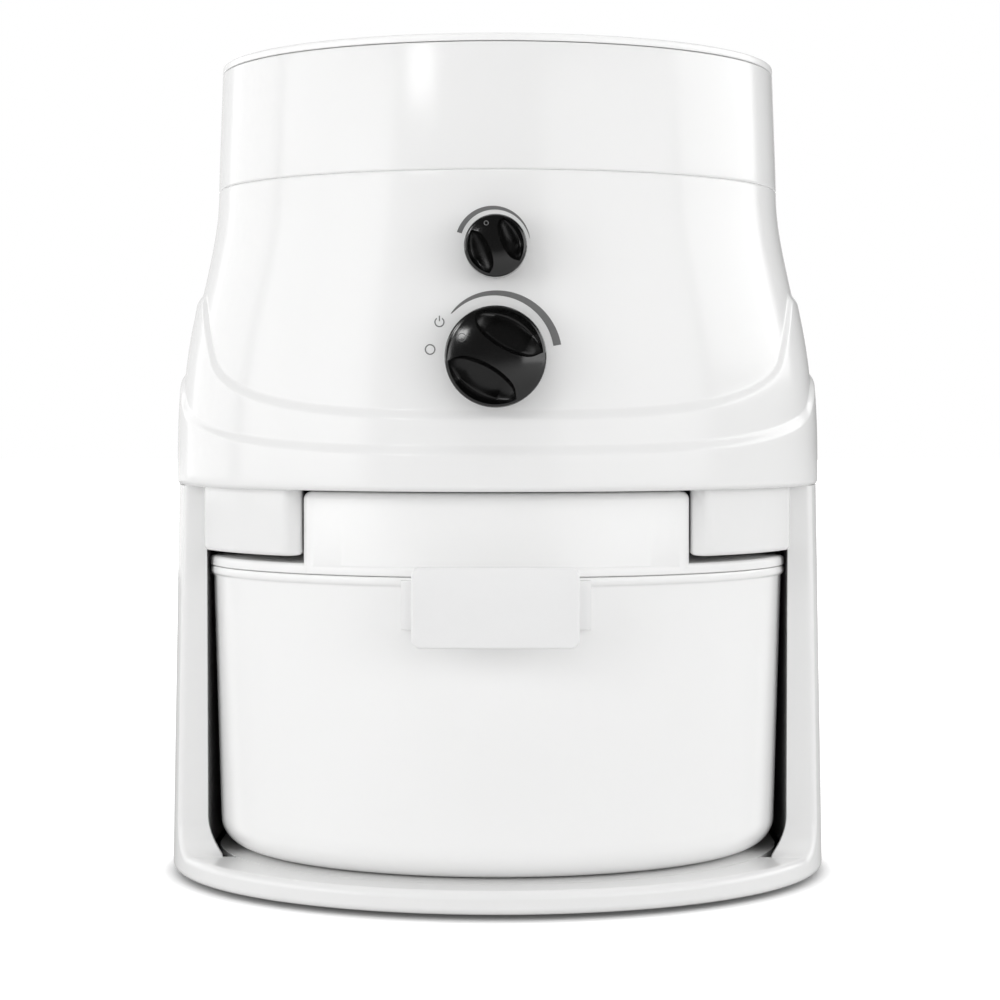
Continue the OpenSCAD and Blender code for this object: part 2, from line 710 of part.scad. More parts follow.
module base_pan() {
    outline = shell_ring(shell_wall + 0.6 + slide_gap, pan_z);
    front = pillar_y + shell_wall;
    color("lightgray")
    difference() {
        union() {
            translate([0, 0, pan_z]) linear_extrude(height = pan_t)
                polygon([for (p = outline) [p[0], p[1]]]);
            // Ribs that carry the bay floor
            for (x = [-75:50:75]) translate([x - 1, front + 4, pan_z + pan_t])
                cube([2, liner_rear - liner_corner_r - front - 4, bay_floor_z - pan_z - pan_t]);
            base_screw_places() translate([0, 0, pan_z]) cylinder(r = 6, h = bay_floor_z - pan_z);
        }
        base_screw_places() translate([0, 0, pan_z - 1]) cylinder(r = 1.8, h = 20);
        base_screw_places() translate([0, 0, pan_z - 1]) cylinder(r = 3.3, h = 3.4);
        foot_places() translate([0, 0, pan_z - 1]) cylinder(r = foot_r + slide_gap / 2, h = 1.8);
    }
}

module foot_places() {
    for (x = [-1, 1], y = [foot_front - body_front, body_rear - foot_back])
        translate([x * (base_half_w - foot_side), y, 0]) children();
}

module rubber_feet() {
    color("dimgray") foot_places() union() {
        translate([0, 0, 0.8]) cylinder(r = foot_r, h = foot_h);
        cylinder(r1 = foot_r - 1.2, r2 = foot_r, h = 0.9);
    }
}

module base_screws() {
    color("silver") base_screw_places() {
        translate([0, 0, pan_z + 0.8]) cylinder(r = 3, h = 1.5);
        translate([0, 0, pan_z + 1.2]) cylinder(r = 1.5, h = bay_floor_z - pan_z - 1.6);
    }
}

// Hopper

module hopper() {
    inner_top = hopper_top_r - hopper_wall;
    inner_low = inner_top + 0.6;
    outlet_z = throat_high_z;
    lip_r = ring_r - housing_wall - slide_gap;
    color("white")
    rotate_extrude($fn = 120) polygon([
        [outlet_r + 2, outlet_z],
        [outlet_r + 2, outlet_z + 3],
        [inner_low - 8, funnel_z - 8],
        [lip_r - 1.8, seam_z + 4],
        [lip_r - 1.8, seam_z - 4],
        [lip_r, seam_z - 4],
        [lip_r, seam_z],
        [ring_r, seam_z],
        [ring_r - 0.2, seam_z + 8],
        [hopper_top_r, hopper_top_z - 0.6],
        [hopper_top_r - 0.6, hopper_top_z],
        [inner_top, hopper_top_z],
        [inner_low, funnel_z + 8],
        [inner_low - 2, funnel_z + 3],
        [inner_low - 8, funnel_z - 1],
        [inner_low - 30, funnel_z - 9],
        [outlet_r + 8, outlet_z + 9],
        [outlet_r, outlet_z + 5],
        [outlet_r, outlet_z]
    ]);
}

module hopper_lid() {
    z = hopper_top_z + slide_gap;
    rim_r = hopper_top_r - hopper_wall - slide_gap;
    color("whitesmoke")
    rotate_extrude($fn = 120) polygon([
        [0, z],
        [rim_r - 1.8, z],
        [rim_r - 1.8, z - hopper_lid_rim],
        [rim_r, z - hopper_lid_rim],
        [rim_r, z],
        [hopper_top_r - 0.5, z],
        [hopper_top_r, z + 0.5],
        [hopper_top_r, z + hopper_lid_t - 1.4],
        [hopper_top_r - 0.4, z + hopper_lid_t - 0.4],
        [hopper_top_r - 1.4, z + hopper_lid_t],
        [0, z + hopper_lid_t]
    ]);
}

// Flour bowl and its lid

module flour_bowl() {
    r = bowl_bottom_r;
    wall_top = rim_z - bead_h - 1;
    color("white")
    difference() {
        loft(concat(bottom_rows(r, bowl_z, 0), [
            bowl_ring(wall_draft(wall_top), wall_top),
            bowl_ring(0.5, rim_z - bead_h - 0.1),
            bowl_ring(0, rim_z - bead_h + 0.7),
            bowl_ring(0, rim_z - 0.5),
            bowl_ring(0.4, rim_z)
        ]));
        loft(concat(bottom_rows(r - bowl_wall, bowl_z + bowl_wall, bowl_wall), [
            bowl_ring(wall_draft(rim_z) + bowl_wall, rim_z + 1)
        ]));
    }
}

module bowl_handle() {
    arm_x = grip_w / 2 - 4;
    wall_y = -rim_front + wall_draft(grip_z + grip_h / 2) - 1;
    flange_z = grip_z + 5;
    plate_y = -grip_reach;
    r = 3.4;
    color([0.93, 0.94, 0.95, 0.8])
    difference() {
        union() {
            // Grip plate with round lower corners
            facing_front(plate_y + grip_t, grip_t) translate([0, grip_z + grip_h / 2])
                rounded_rect(grip_w, grip_h, r);
            // Two arms back to the flanges
            for (x = [-1, 1]) translate([x * (arm_x + 1) - 1.5, plate_y + grip_t - 0.5, flange_z])
                cube([3, -plate_y + wall_y + 7, flange_h]);
            for (x = [-1, 1]) translate([x * (flange_w / 2 - 4.5) - 4.5, wall_y - 4.5, flange_z])
                cube([9, 12, flange_h]);
            // Web that stiffens the grip between the arms
            translate([-arm_x - 2, plate_y + grip_t - 0.5, flange_z + flange_h / 2 - 1])
                cube([2 * arm_x + 4, 7, 2]);
        }
        handle_seat();
    }
}

// Space of the bowl's outside, which the handle's flanges are shaped to
module handle_seat() {
    gap = 0.02;
    bead_low = rim_z - bead_h - 1;
    loft([bowl_ring(wall_draft(grip_z - 10) - gap, grip_z - 10),
        bowl_ring(wall_draft(bead_low) - gap, bead_low - 0.2),
        bowl_ring(-gap, bead_low - 0.1),
        bowl_ring(-gap, grip_z + grip_h + 10)]);
}

// Plan of the raised box: the flange's oval front, straight sides
function box_outline(inset) =
    let (w = box_half_w - inset, a = rim_half_w - inset, b = box_front - inset, r = box_side_r,
        end = asin((w - r * 0.7) / a), yc = -b * cos(asin((w - r) / a)) + r, rr = box_corner_r,
        rear = box_rear - inset)
    concat([for (i = [0:20]) let (t = -end + 2 * end * i / 20) [a * sin(t), -b * cos(t)]],
        [for (i = [2:5]) let (t = -90 + 90 * i / 5) [w - r + r * cos(t), yc + r * sin(t)]],
        [for (i = [0:5]) let (t = 90 * i / 5) [w - rr + rr * cos(t), rear - rr + rr * sin(t)]],
        [for (i = [0:5]) let (t = 90 + 90 * i / 5) [-w + rr + rr * cos(t), rear - rr + rr * sin(t)]],
        [for (i = [0:3]) let (t = 180 + 90 * i / 5) [-w + r + r * cos(t), yc + r * sin(t)]]);

module bowl_lid() {
    e = box_edge_r;
    z1 = box_top_z;
    color("white")
    difference() {
        union() {
            loft([bowl_ring(0.4, lid_z), bowl_ring(0, lid_z + 0.6), bowl_ring(0, flange_top_z - 1.2),
                bowl_ring(0.4, flange_top_z - 0.3), bowl_ring(1.3, flange_top_z)]);
            loft(concat([at_height(box_outline(0), lid_z + 1)],
                [for (i = [0:5]) let (t = 90 * i / 5)
                    at_height(box_outline(e * (1 - cos(t))), z1 - e + e * sin(t))]));
            // Lip that drops into the bowl
            translate([0, 0, lid_z - 6]) linear_extrude(height = 7) difference() {
                polygon(bowl_outline(wall_inset + bowl_wall + 2));
                polygon(bowl_outline(wall_inset + bowl_wall + 4));
            }
        }
        // The raised box is hollow and open to the bowl
        translate([0, 0, lid_z - 1]) linear_extrude(height = z1 - box_wall - lid_z + 1)
            polygon(box_outline(box_wall + 1));
        translate([0, port_y, z1 - 10]) cylinder(r = port_r, h = 20);
        // Seat and window of the filter
        translate([0, filter_y, z1 - 1.4]) linear_extrude(height = 2)
            rounded_rect(2 * filter_half_w, 2 * filter_half_d, 6);
        translate([0, filter_y, z1 - 10]) linear_extrude(height = 20)
            rounded_rect(2 * filter_half_w - 10, 2 * filter_half_d - 10, 4);
        translate([0, 0, lid_z - 0.01]) linear_extrude(height = 1) gasket_plan();
    }
}

// Groove that holds the gasket over the bowl's rim
module gasket_plan() {
    difference() {
        polygon(bowl_outline(wall_inset + 0.4));
        polygon(bowl_outline(wall_inset + bowl_wall - 0.2));
    }
}

module lid_gasket() {
    color("lightgray")
    translate([0, 0, lid_z]) linear_extrude(height = 0.97) gasket_plan();
}

module filter_grille() {
    color("white")
    difference() {
        translate([0, filter_y, box_top_z - 1.4]) linear_extrude(height = 1.4)
            rounded_rect(2 * (filter_half_w - slide_gap), 2 * (filter_half_d - slide_gap), 6);
        for (x = [-33:11:33]) translate([x - 3, filter_y - 24, box_top_z - 3]) cube([6, 48, 6]);
    }
}

module filter_foam() {
    color("gray")
    translate([0, filter_y, box_top_z - 1.4 - foam_t]) linear_extrude(height = foam_t)
        rounded_rect(2 * filter_half_w - 10 - 2 * slide_gap, 2 * filter_half_d - 10 - 2 * slide_gap, 4);
}

module separator_cup() {
    rim_top = box_top_z - box_wall - foam_t - 1.4;
    floor_z = rim_top - cup_depth;
    frame_t = 2;
    color("gainsboro")
    difference() {
        union() {
            translate([0, filter_y, rim_top - frame_t]) linear_extrude(height = frame_t)
                rounded_rect(2 * filter_half_w, 2 * filter_half_d, 6);
            translate([0, filter_y, floor_z]) cylinder(r = cup_r, h = cup_depth);
            // Four posts up to the underside of the box
            for (x = [-1, 1], y = [-1, 1]) translate([x * (filter_half_w - 3), filter_y + y * (filter_half_d - 3),
                rim_top - 0.5]) cylinder(r = 1.8, h = box_top_z - box_wall - rim_top + 0.5);
        }
        translate([0, filter_y, floor_z + 2]) cylinder(r = cup_r - 2, h = cup_depth + 5);
        // Slots round the cup let the air turn up into the filter
        for (a = [0:30:150]) rotate_about(filter_y, a) translate([-far / 4, -2, floor_z + 8])
            cube([far / 2, 4, cup_depth - 18]);
    }
}

module rotate_about(y, a) {
    translate([0, y, 0]) rotate(a) children();
}

// Controls

// Knob standing on its back at Z = 0 with its pointer along +Y
module knob(r, bore_depth) {
    rim = r * 0.09;
    bar = r * bar_share / 2;
    waist_r = r * 1.6;
    difference() {
        rotate_extrude() polygon([[0, 0], [r - 0.8, 0], [r, 0.6], [r, knob_h - 1.4], [r - 0.5, knob_h - 0.4],
            [r - 1.3, knob_h], [0, knob_h]]);
        // Two finger recesses leave a bar that widens towards its ends
        intersection() {
            translate([0, 0, knob_h - recess_depth]) linear_extrude(height = recess_depth + 1) intersection() {
                circle(r = r - rim);
                for (side = [-1, 1]) translate([side * (bar + waist_r), 0]) circle(r = waist_r);
            }
            translate([0, 0, knob_h + r * 1.2 - recess_depth + 0.4]) sphere(r = r * 1.2, $fn = 48);
        }
        translate([0, 0, -1]) cylinder(r = shaft_r + running_gap, h = bore_depth + 1);
    }
}

module placed_knob(r, z, pointer) {
    translate([0, knob_back_y, z]) rotate([90, 0, 0]) rotate(-pointer) knob(r, knob_h - recess_depth - 1.5);
}

module feed_knob() {
    color([0.08, 0.08, 0.09]) placed_knob(feed_knob_r, feed_z, feed_pointer);
}

module speed_knob() {
    color([0.08, 0.08, 0.09]) placed_knob(speed_knob_r, speed_z, speed_pointer);
}

module feed_shaft() {
    color("silver") bar_y(shaft_r, knob_back_y - 4, gear_plate_y + bracket_t + 2, 0, feed_z);
}

module speed_shaft() {
    color("silver") bar_y(shaft_r, knob_back_y - 4, bracket_y + bracket_t + 7, 0, speed_z);
}

module control_bracket() {
    color("lightsteelblue")
    difference() {
        union() {
            translate([-bracket_half_w, bracket_y, bracket_low_z])
                cube([2 * bracket_half_w, bracket_t, bracket_high_z - bracket_low_z]);
            for (x = [-1, 1], z = [bracket_low_z + 5, rack_z - 5.5])
                bar_y(post_r, bracket_y + 1, gear_plate_y, x * (bracket_half_w - 5), z);
            // Feet that reach forward to the wall of the housing
            for (x = [-1, 1], z = [bracket_low_z + 5, bracket_high_z - 6])
                bar_y(post_r, -sqrt(pow(ring_r - housing_wall, 2) - pow(bracket_half_w - 8, 2)) + 0.6,
                    bracket_y + 1, x * (bracket_half_w - 8), z);
        }
        bar_y(shaft_r + pass_gap, bracket_y - 1, bracket_y + bracket_t + 1, 0, feed_z);
        bar_y(4.5 + pass_gap / 4, bracket_y - 1, bracket_y + bracket_t + 1, 0, speed_z);
    }
}

module gear_plate() {
    color("lightsteelblue")
    difference() {
        translate([-bracket_half_w, gear_plate_y, bracket_low_z])
            cube([2 * bracket_half_w, bracket_t, rack_z - 2.5 - bracket_low_z]);
        bar_y(shaft_r + running_gap, gear_plate_y - 1, gear_plate_y + bracket_t + 1, 0, feed_z);
        bar_y(stud_r - 0.5 + running_gap, gear_plate_y - 1, gear_plate_y + bracket_t + 1, 0, sector_z);
    }
}

module power_switch() {
    y = bracket_y + bracket_t;
    color("dimgray")
    difference() {
        union() {
            translate([-13, y, feed_z - 13]) cube([26, 12, 26]);
            for (x = [-8, 0, 8]) translate([x - 2, y + 4, feed_z - 19]) cube([4, 0.8, 7]);
        }
        bar_y(shaft_r + slide_gap, y - 1, y + 14, 0, feed_z);
    }
}

module speed_potentiometer() {
    y = bracket_y + bracket_t;
    color("darkseagreen")
    difference() {
        union() {
            bar_y(11, y, y + 10, 0, speed_z);
            bar_y(4.5, y - bracket_t - 3, y + 1, 0, speed_z);
            for (x = [-5, 0, 5]) translate([x - 1, y + 4, speed_z + 9]) cube([2, 0.8, 8]);
        }
        bar_y(shaft_r + running_gap, y - 8, y + 7.5, 0, speed_z);
    }
}

module speed_board() {
    color("seagreen") translate([-board_w / 2, board_y, floor_top_z + board_rise]) union() {
        cube([board_w, board_d, 1.6]);
        translate([6, 6, 1]) cube([16, 12, 15]);
        translate([36, 14, 1]) cylinder(r = 6, h = 16);
        translate([board_w - 14, 8, 1]) cube([9, 18, 11]);
        translate([8, 22, 1]) cube([12, 7, 9]);
    }
}

// Feed train: pinion, sector and rack

function inv_angle(a) = tan(a) * 180 / PI - a;
// Half the angle that a tooth takes at radius r on a wheel of n teeth
function tooth_half(r, n) =
    let (pitch_r = gear_m * n / 2, base_r = pitch_r * cos(pressure))
    90 / n - tooth_play / (2 * pitch_r) * 180 / PI + inv_angle(pressure) - inv_angle(acos(min(1, base_r / r)));

module gear_tooth(n) {
    pitch_r = gear_m * n / 2;
    root_r = pitch_r - dedendum - 0.4;
    radii = [for (i = [0:5]) pitch_r - dedendum + (addendum + dedendum) * i / 5];
    polygon(concat([[root_r * cos(tooth_half(radii[0], n)), -root_r * sin(tooth_half(radii[0], n))]],
        [for (r = radii) r * [cos(tooth_half(r, n)), -sin(tooth_half(r, n))]],
        [for (i = [5:-1:0]) radii[i] * [cos(tooth_half(radii[i], n)), sin(tooth_half(radii[i], n))]],
        [[root_r * cos(tooth_half(radii[0], n)), root_r * sin(tooth_half(radii[0], n))]]));
}

module feed_pinion() {
    color("gold")
    difference() {
        translate([0, 0, feed_z]) facing_front(gear_y + 0.5, gear_w + 1) union() {
            circle(r = gear_m * pinion_n / 2 - dedendum);
            for (i = [0:pinion_n - 1]) rotate(90 + 360 * i / pinion_n) gear_tooth(pinion_n);
        }
        bar_y(shaft_r + 0.01, gear_y - 10, gear_y + 3, 0, feed_z);
    }
}

// Sector of a disc between two angles
module wedge(r, from, to) {
    reach = r / cos((to - from) / 16);
    polygon(concat([[0, 0]], [for (i = [0:8]) let (t = from + (to - from) * i / 8) reach * [cos(t), sin(t)]]));
}

module feed_sector() {
    lower_r = gear_m * lower_n / 2 - dedendum;
    upper_r = gear_m * upper_n / 2 - dedendum;
    color("goldenrod")
    difference() {
        translate([0, 0, sector_z]) facing_front(gear_y, gear_w) union() {
            circle(r = 7);
            intersection() {
                circle(r = lower_r);
                wedge(lower_r, 207, 297);
            }
            intersection() {
                circle(r = upper_r);
                wedge(upper_r, 21, 123);
            }
            for (i = [-5:1]) rotate(270 + (i + 0.5) * 360 / lower_n) gear_tooth(lower_n);
            for (i = [-3:0]) rotate(90 + (i + 0.5) * 360 / upper_n) gear_tooth(upper_n);
        }
        bar_y(stud_r + running_gap, gear_y - 10, gear_y + 3, 0, sector_z);
        // Windows that lighten the lower fan
        for (t = [232, 258]) translate([0, 0, sector_z]) facing_front(gear_y + 1, gear_w + 2)
            translate(17 * [cos(t), sin(t)]) circle(r = 3);
    }
}

module sector_stud() {
    color("silver") union() {
        bar_y(stud_r + 2, gear_y + slide_gap, gear_plate_y, 0, sector_z);
        bar_y(stud_r, gear_y - gear_w - slide_gap, gear_y + slide_gap + 0.5, 0, sector_z);
        bar_y(stud_r + 2, gear_y - gear_w - slide_gap - 1.2, gear_y - gear_w - slide_gap, 0, sector_z);
        bar_y(stud_r - 0.5, gear_plate_y - 0.5, gear_plate_y + bracket_t, 0, sector_z);
    }
}

module rack_teeth() {
    half = gear_m * PI / 4 - tooth_play / 2;
    for (i = [-2:4]) translate([i * gear_m * PI, 0]) polygon([
        [-half - dedendum * tan(pressure), dedendum + 0.1],
        [-half + addendum * tan(pressure), -addendum],
        [half - addendum * tan(pressure), -addendum],
        [half + dedendum * tan(pressure), dedendum + 0.1]]);
}

module feed_gate() {
    arm_w = 14;
    color("gold")
    difference() {
        union() {
            translate([-10, -gate_half_d - 1, gate_z]) cube([34, 2 * gate_half_d + 1, gate_t]);
            translate([-arm_w / 2, gear_y - gear_w, gate_z])
                cube([arm_w, -gear_y + gear_w - gate_half_d, gate_t]);
            translate([0, 0, rack_z]) facing_front(gear_y, gear_w) union() {
                rack_teeth();
                translate([-12.5, dedendum]) square([34, gate_z + gate_t + 1.5 - rack_z - dedendum]);
            }
        }
        translate([gate_travel, 0, gate_z - 1]) cylinder(r = gate_hole_r, h = gate_t + 2);
    }
}

module feed_throat() {
    color("whitesmoke")
    difference() {
        translate([-throat_half_w, -throat_half_d, throat_low_z])
            cube([2 * throat_half_w, 2 * throat_half_d, throat_high_z - throat_low_z]);
        translate([-far / 2, -far + gate_half_d + slide_gap, gate_z - slide_gap])
            cube([far, far, gate_t + 2 * slide_gap]);
        translate([0, 0, throat_low_z - 1]) cylinder(r = gate_hole_r, h = far);
        translate([0, 0, throat_high_z - 2]) cylinder(r1 = gate_hole_r, r2 = outlet_r, h = 2.01);
    }
}

// Milling chamber

module tooth_ring(r, count) {
    slot = 2 * PI * r / count * 0.45;
    difference() {
        circle(r = r + tooth_t / 2);
        circle(r = r - tooth_t / 2);
        for (i = [0:count - 1]) rotate(360 * i / count) translate([r - tooth_t, -slot / 2])
            square([2 * tooth_t, slot]);
    }
}

module mill_chamber() {
    wall_h = chamber_h - stator_head_t - 1;
    color("silver")
    difference() {
        union() {
            translate([0, 0, chamber_z]) cylinder(r = chamber_r, h = wall_h, $fn = 96);
            // Spout to the chute
            translate([-chute_half_w - 2, 0, chamber_z])
                cube([2 * chute_half_w + 4, chute_y - 2, wall_h]);
            for (x = [-1, 1], y = [-1, 1]) translate([x * leg_offset, y * leg_offset, floor_top_z])
                cylinder(r = leg_r, h = chamber_z - floor_top_z + 1);
        }
        translate([0, 0, chamber_z + chamber_wall])
            cylinder(r = chamber_r - chamber_wall, h = wall_h, $fn = 96);
        translate([-chute_half_w, 20, chamber_z + chamber_wall])
            cube([2 * chute_half_w, chute_y, wall_h - chamber_wall - 2]);
        translate([0, 0, chamber_z - 1]) cylinder(r = 9, h = chamber_wall + 2);
    }
}

module chamber_gasket() {
    color("orangered")
    translate([0, 0, chamber_z + chamber_h - stator_head_t - 1]) linear_extrude(height = 1) difference() {
        circle(r = chamber_r);
        circle(r = chamber_r - chamber_wall);
    }
}

module shaft_seal() {
    color("orangered")
    translate([0, 0, chamber_z]) linear_extrude(height = chamber_wall) difference() {
        circle(r = 9 - running_gap);
        circle(r = motor_shaft_r + slide_gap);
    }
}

module mill_stator() {
    plate_z = chamber_z + chamber_h - stator_head_t;
    color("darkgray")
    difference() {
        union() {
            translate([0, 0, plate_z]) cylinder(r = chamber_r, h = stator_head_t, $fn = 96);
            translate([0, 0, plate_z - 9]) linear_extrude(height = 9.5)
                for (i = [0:len(stator_teeth) - 1])
                    tooth_ring(first_ring_r + (i + 0.5) * ring_pitch, stator_teeth[i]);
        }
        translate([0, 0, plate_z - 1]) cylinder(r = gate_hole_r, h = stator_head_t + 2);
        translate([0, 0, plate_z - 1]) cylinder(r1 = 11, r2 = gate_hole_r, h = 5);
    }
}

module mill_rotor() {
    color("darkgray")
    difference() {
        union() {
            translate([0, 0, rotor_z]) cylinder(r = rotor_r, h = head_t, $fn = 96);
            translate([0, 0, rotor_z - 2.4]) cylinder(r = 8, h = 4);
            translate([0, 0, rotor_z + head_t - 0.5]) linear_extrude(height = 10.5)
                for (i = [0:len(rotor_teeth) - 1]) tooth_ring(first_ring_r + i * ring_pitch, rotor_teeth[i]);
        }
        translate([0, 0, rotor_z - 5]) cylinder(r = motor_shaft_r + 0.01, h = 30);
    }
}

module rotor_nut() {
    color("silver")
    difference() {
        translate([0, 0, rotor_z + head_t]) cylinder(r = 7, h = 4, $fn = 6);
        translate([0, 0, rotor_z]) cylinder(r = motor_shaft_r + 0.01, h = 20);
    }
}

module flour_chute() {
    top_z = chamber_z + chamber_h - stator_head_t - 1;
    color("white")
    difference() {
        translate([-chute_half_w - 2, chute_y - 2, skirt_z])
            cube([2 * chute_half_w + 4, chute_d + 4, top_z - skirt_z]);
        translate([-chute_half_w, chute_y, skirt_z - 1])
            cube([2 * chute_half_w, chute_d, top_z - skirt_z - 1]);
        translate([-chute_half_w, chute_y - 5, chamber_z + chamber_wall])
            cube([2 * chute_half_w, 10, top_z - chamber_z - chamber_wall - 2]);
    }
}

// Motor

module motor_shaft() {
    color("silver") translate([0, 0, lower_bearing_z]) cylinder(r = motor_shaft_r, h = rotor_z + head_t + 5 - lower_bearing_z);
}

module armature_core() {
    color("slategray")
    translate([0, 0, core_z]) linear_extrude(height = field_h) difference() {
        circle(r = armature_r);
        circle(r = motor_shaft_r + 0.01);
        for (i = [0:11]) rotate(30 * i) translate([armature_r - 6, -1]) square([8, 2]);
    }
}

module armature_windings() {
    color("peru")
    for (z = [commutator_z + commutator_h, core_z + field_h]) {
        h = z < core_z ? core_z - z : 3;
        translate([0, 0, z]) difference() {
            cylinder(r = armature_r - 4, h = h);
            translate([0, 0, -1]) cylinder(r = motor_shaft_r + 0.01, h = h + 2);
        }
    }
}

module commutator() {
    color("darkorange")
    translate([0, 0, commutator_z]) linear_extrude(height = commutator_h) difference() {
        circle(r = commutator_r);
        circle(r = motor_shaft_r + 0.01);
        for (i = [0:11]) rotate(30 * i) translate([commutator_r - 1, -0.3]) square([2, 0.6]);
    }
}

module field_core() {
    color("slategray")
    translate([0, 0, core_z]) linear_extrude(height = field_h) difference() {
        rounded_rect(field_w, field_d, 10);
        circle(r = armature_r + air_gap);
        // Slots that hold the sides of the windings
        for (x = [-1, 1], y = [-1, 1]) translate([x * 26 - 5, y * 22 - 4]) square([10, 8]);
    }
}

module field_windings() {
    color("chocolate")
    for (x = [-1, 1], up = [-1, 1]) {
        z = up > 0 ? core_z + field_h : core_z - 4.5;
        translate([x * 33, 0, z]) linear_extrude(height = 4.5) rounded_rect(12, 50, 5.5);
    }
}

module brush_holders() {
    color("brown")
    for (side = [0, 180]) rotate(side) difference() {
        translate([commutator_r + 1.5, -5, lower_disc_z + bracket_disc_t]) cube([22, 10, 10]);
        translate([commutator_r, -3, brush_z - 3]) cube([20, 6, 6]);
    }
}

module carbon_brushes() {
    color([0.2, 0.2, 0.2])
    for (side = [0, 180]) rotate(side)
        translate([commutator_r + slide_gap, -2.95, brush_z - 2.95]) cube([16, 5.9, 5.9]);
}

module bearing(z) {
    translate([0, 0, z]) difference() {
        cylinder(r = bearing_r, h = bearing_h);
        translate([0, 0, -1]) cylinder(r = motor_shaft_r + running_gap, h = bearing_h + 2);
        // Recess between the two races
        translate([0, 0, bearing_h - 0.8]) linear_extrude(height = 1) difference() {
            circle(r = bearing_r - 2);
            circle(r = motor_shaft_r + 2.5);
        }
    }
}

module lower_bearing() {
    color("silver") bearing(lower_bearing_z);
}

module upper_bearing() {
    color("silver") bearing(upper_disc_z + bracket_disc_t - bearing_h);
}

// Disc with a bearing cup, windows for the air and two posts to the field core
module motor_bracket(disc_z, cup_low, cup_high, bearing_low, post_low, post_high) {
    difference() {
        union() {
            translate([0, 0, disc_z]) cylinder(r = motor_bracket_r, h = bracket_disc_t);
            translate([0, 0, cup_low]) cylinder(r = bearing_r + 2.5, h = cup_high - cup_low);
            for (y = [-1, 1]) translate([0, y * (field_d / 2 - 5), post_low])
                cylinder(r = 4, h = post_high - post_low);
        }
        translate([0, 0, bearing_low]) cylinder(r = bearing_r + running_gap, h = bearing_h + 0.01);
        translate([0, 0, disc_z - 20]) cylinder(r = motor_shaft_r + 1.5, h = 60);
        for (a = [45:90:315]) rotate(a) translate([22, -5, disc_z - 1]) cube([12, 10, bracket_disc_t + 2]);
    }
}

module lower_bracket() {
    color("lightslategray")
    motor_bracket(lower_disc_z, lower_bearing_z - 1.5, lower_disc_z + bracket_disc_t, lower_bearing_z,
        lower_disc_z + 1, core_z);
}

module upper_bracket() {
    bearing_low = upper_disc_z + bracket_disc_t - bearing_h;
    color("lightslategray")
    motor_bracket(upper_disc_z, bearing_low, upper_disc_z + bracket_disc_t, bearing_low,
        core_z + field_h, upper_disc_z + 1);
}

module cooling_fan() {
    color("dimgray")
    difference() {
        union() {
            translate([0, 0, fan_z]) cylinder(r = fan_r, h = 1);
            translate([0, 0, fan_z]) cylinder(r = motor_shaft_r + 4, h = fan_h);
            for (i = [0:10]) rotate(i * 360 / 11) translate([motor_shaft_r + 3, -0.7, fan_z])
                rotate([0, 0, 12]) cube([fan_r - motor_shaft_r - 6, 1.4, fan_h]);
        }
        translate([0, 0, fan_z - 1]) cylinder(r = motor_shaft_r + 0.01, h = fan_h + 2);
    }
}

module motor_mounts() {
    color("dimgray")
    for (a = [0:90:270]) rotate(a) translate([mount_offset, 0, floor_top_z])
        cylinder(r = mount_r, h = lower_disc_z - floor_top_z);
}

motor_housing();
housing_floor();
guide_rail_left();
guide_rail_right();
lower_shell();
bay_liner();
bay_floor();
base_pan();
rubber_feet();
cord_gland();
hopper();
hopper_lid();
flour_bowl();
bowl_handle();
bowl_lid();
lid_gasket();
separator_cup();
filter_foam();
filter_grille();
feed_knob();
feed_shaft();
feed_pinion();
feed_sector();
sector_stud();
feed_gate();
feed_throat();
control_bracket();
gear_plate();
power_switch();
speed_knob();
speed_shaft();
speed_potentiometer();
speed_board();
mill_chamber();
chamber_gasket();
shaft_seal();
mill_stator();
mill_rotor();
rotor_nut();
flour_chute();
motor_shaft();
armature_core();
armature_windings();
commutator();
field_core();
field_windings();
brush_holders();
carbon_brushes();
lower_bearing();
upper_bearing();
lower_bracket();
upper_bracket();
cooling_fan();
motor_mounts();
housing_screws();
base_screws();
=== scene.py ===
"""Looks of the electric grain mill: smooth moulded surfaces, finishes, dial marks, studio and camera.

Lengths inside the shape functions are millimetres, as on the drawing; Shape.piece turns them into metres.
"""
import math

import bmesh
import bpy
import numpy as np
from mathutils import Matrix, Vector


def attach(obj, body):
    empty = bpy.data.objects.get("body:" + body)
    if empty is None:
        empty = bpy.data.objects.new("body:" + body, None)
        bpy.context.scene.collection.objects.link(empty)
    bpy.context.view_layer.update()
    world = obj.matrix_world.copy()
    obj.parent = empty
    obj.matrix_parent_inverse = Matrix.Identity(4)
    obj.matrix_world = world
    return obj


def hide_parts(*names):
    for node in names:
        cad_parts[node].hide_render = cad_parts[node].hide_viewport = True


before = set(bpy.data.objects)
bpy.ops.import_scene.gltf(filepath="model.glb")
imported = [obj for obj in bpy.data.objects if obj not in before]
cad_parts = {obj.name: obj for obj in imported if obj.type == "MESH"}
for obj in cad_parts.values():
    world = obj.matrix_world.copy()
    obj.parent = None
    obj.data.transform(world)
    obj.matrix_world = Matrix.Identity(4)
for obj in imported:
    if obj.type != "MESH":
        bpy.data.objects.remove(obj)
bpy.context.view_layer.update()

MM = 0.001
TAU = 2 * np.pi
BOTH = (True, True)


# ---------------------------------------------------------------- materials

FINISH = {}


def rgba(colour):
    """A colour with its alpha; a link stays as it is."""
    return (*colour, 1.0) if isinstance(colour, tuple) else colour


def grey(level, tint=(1.0, 1.0, 1.0)):
    return tuple(level * t for t in tint)


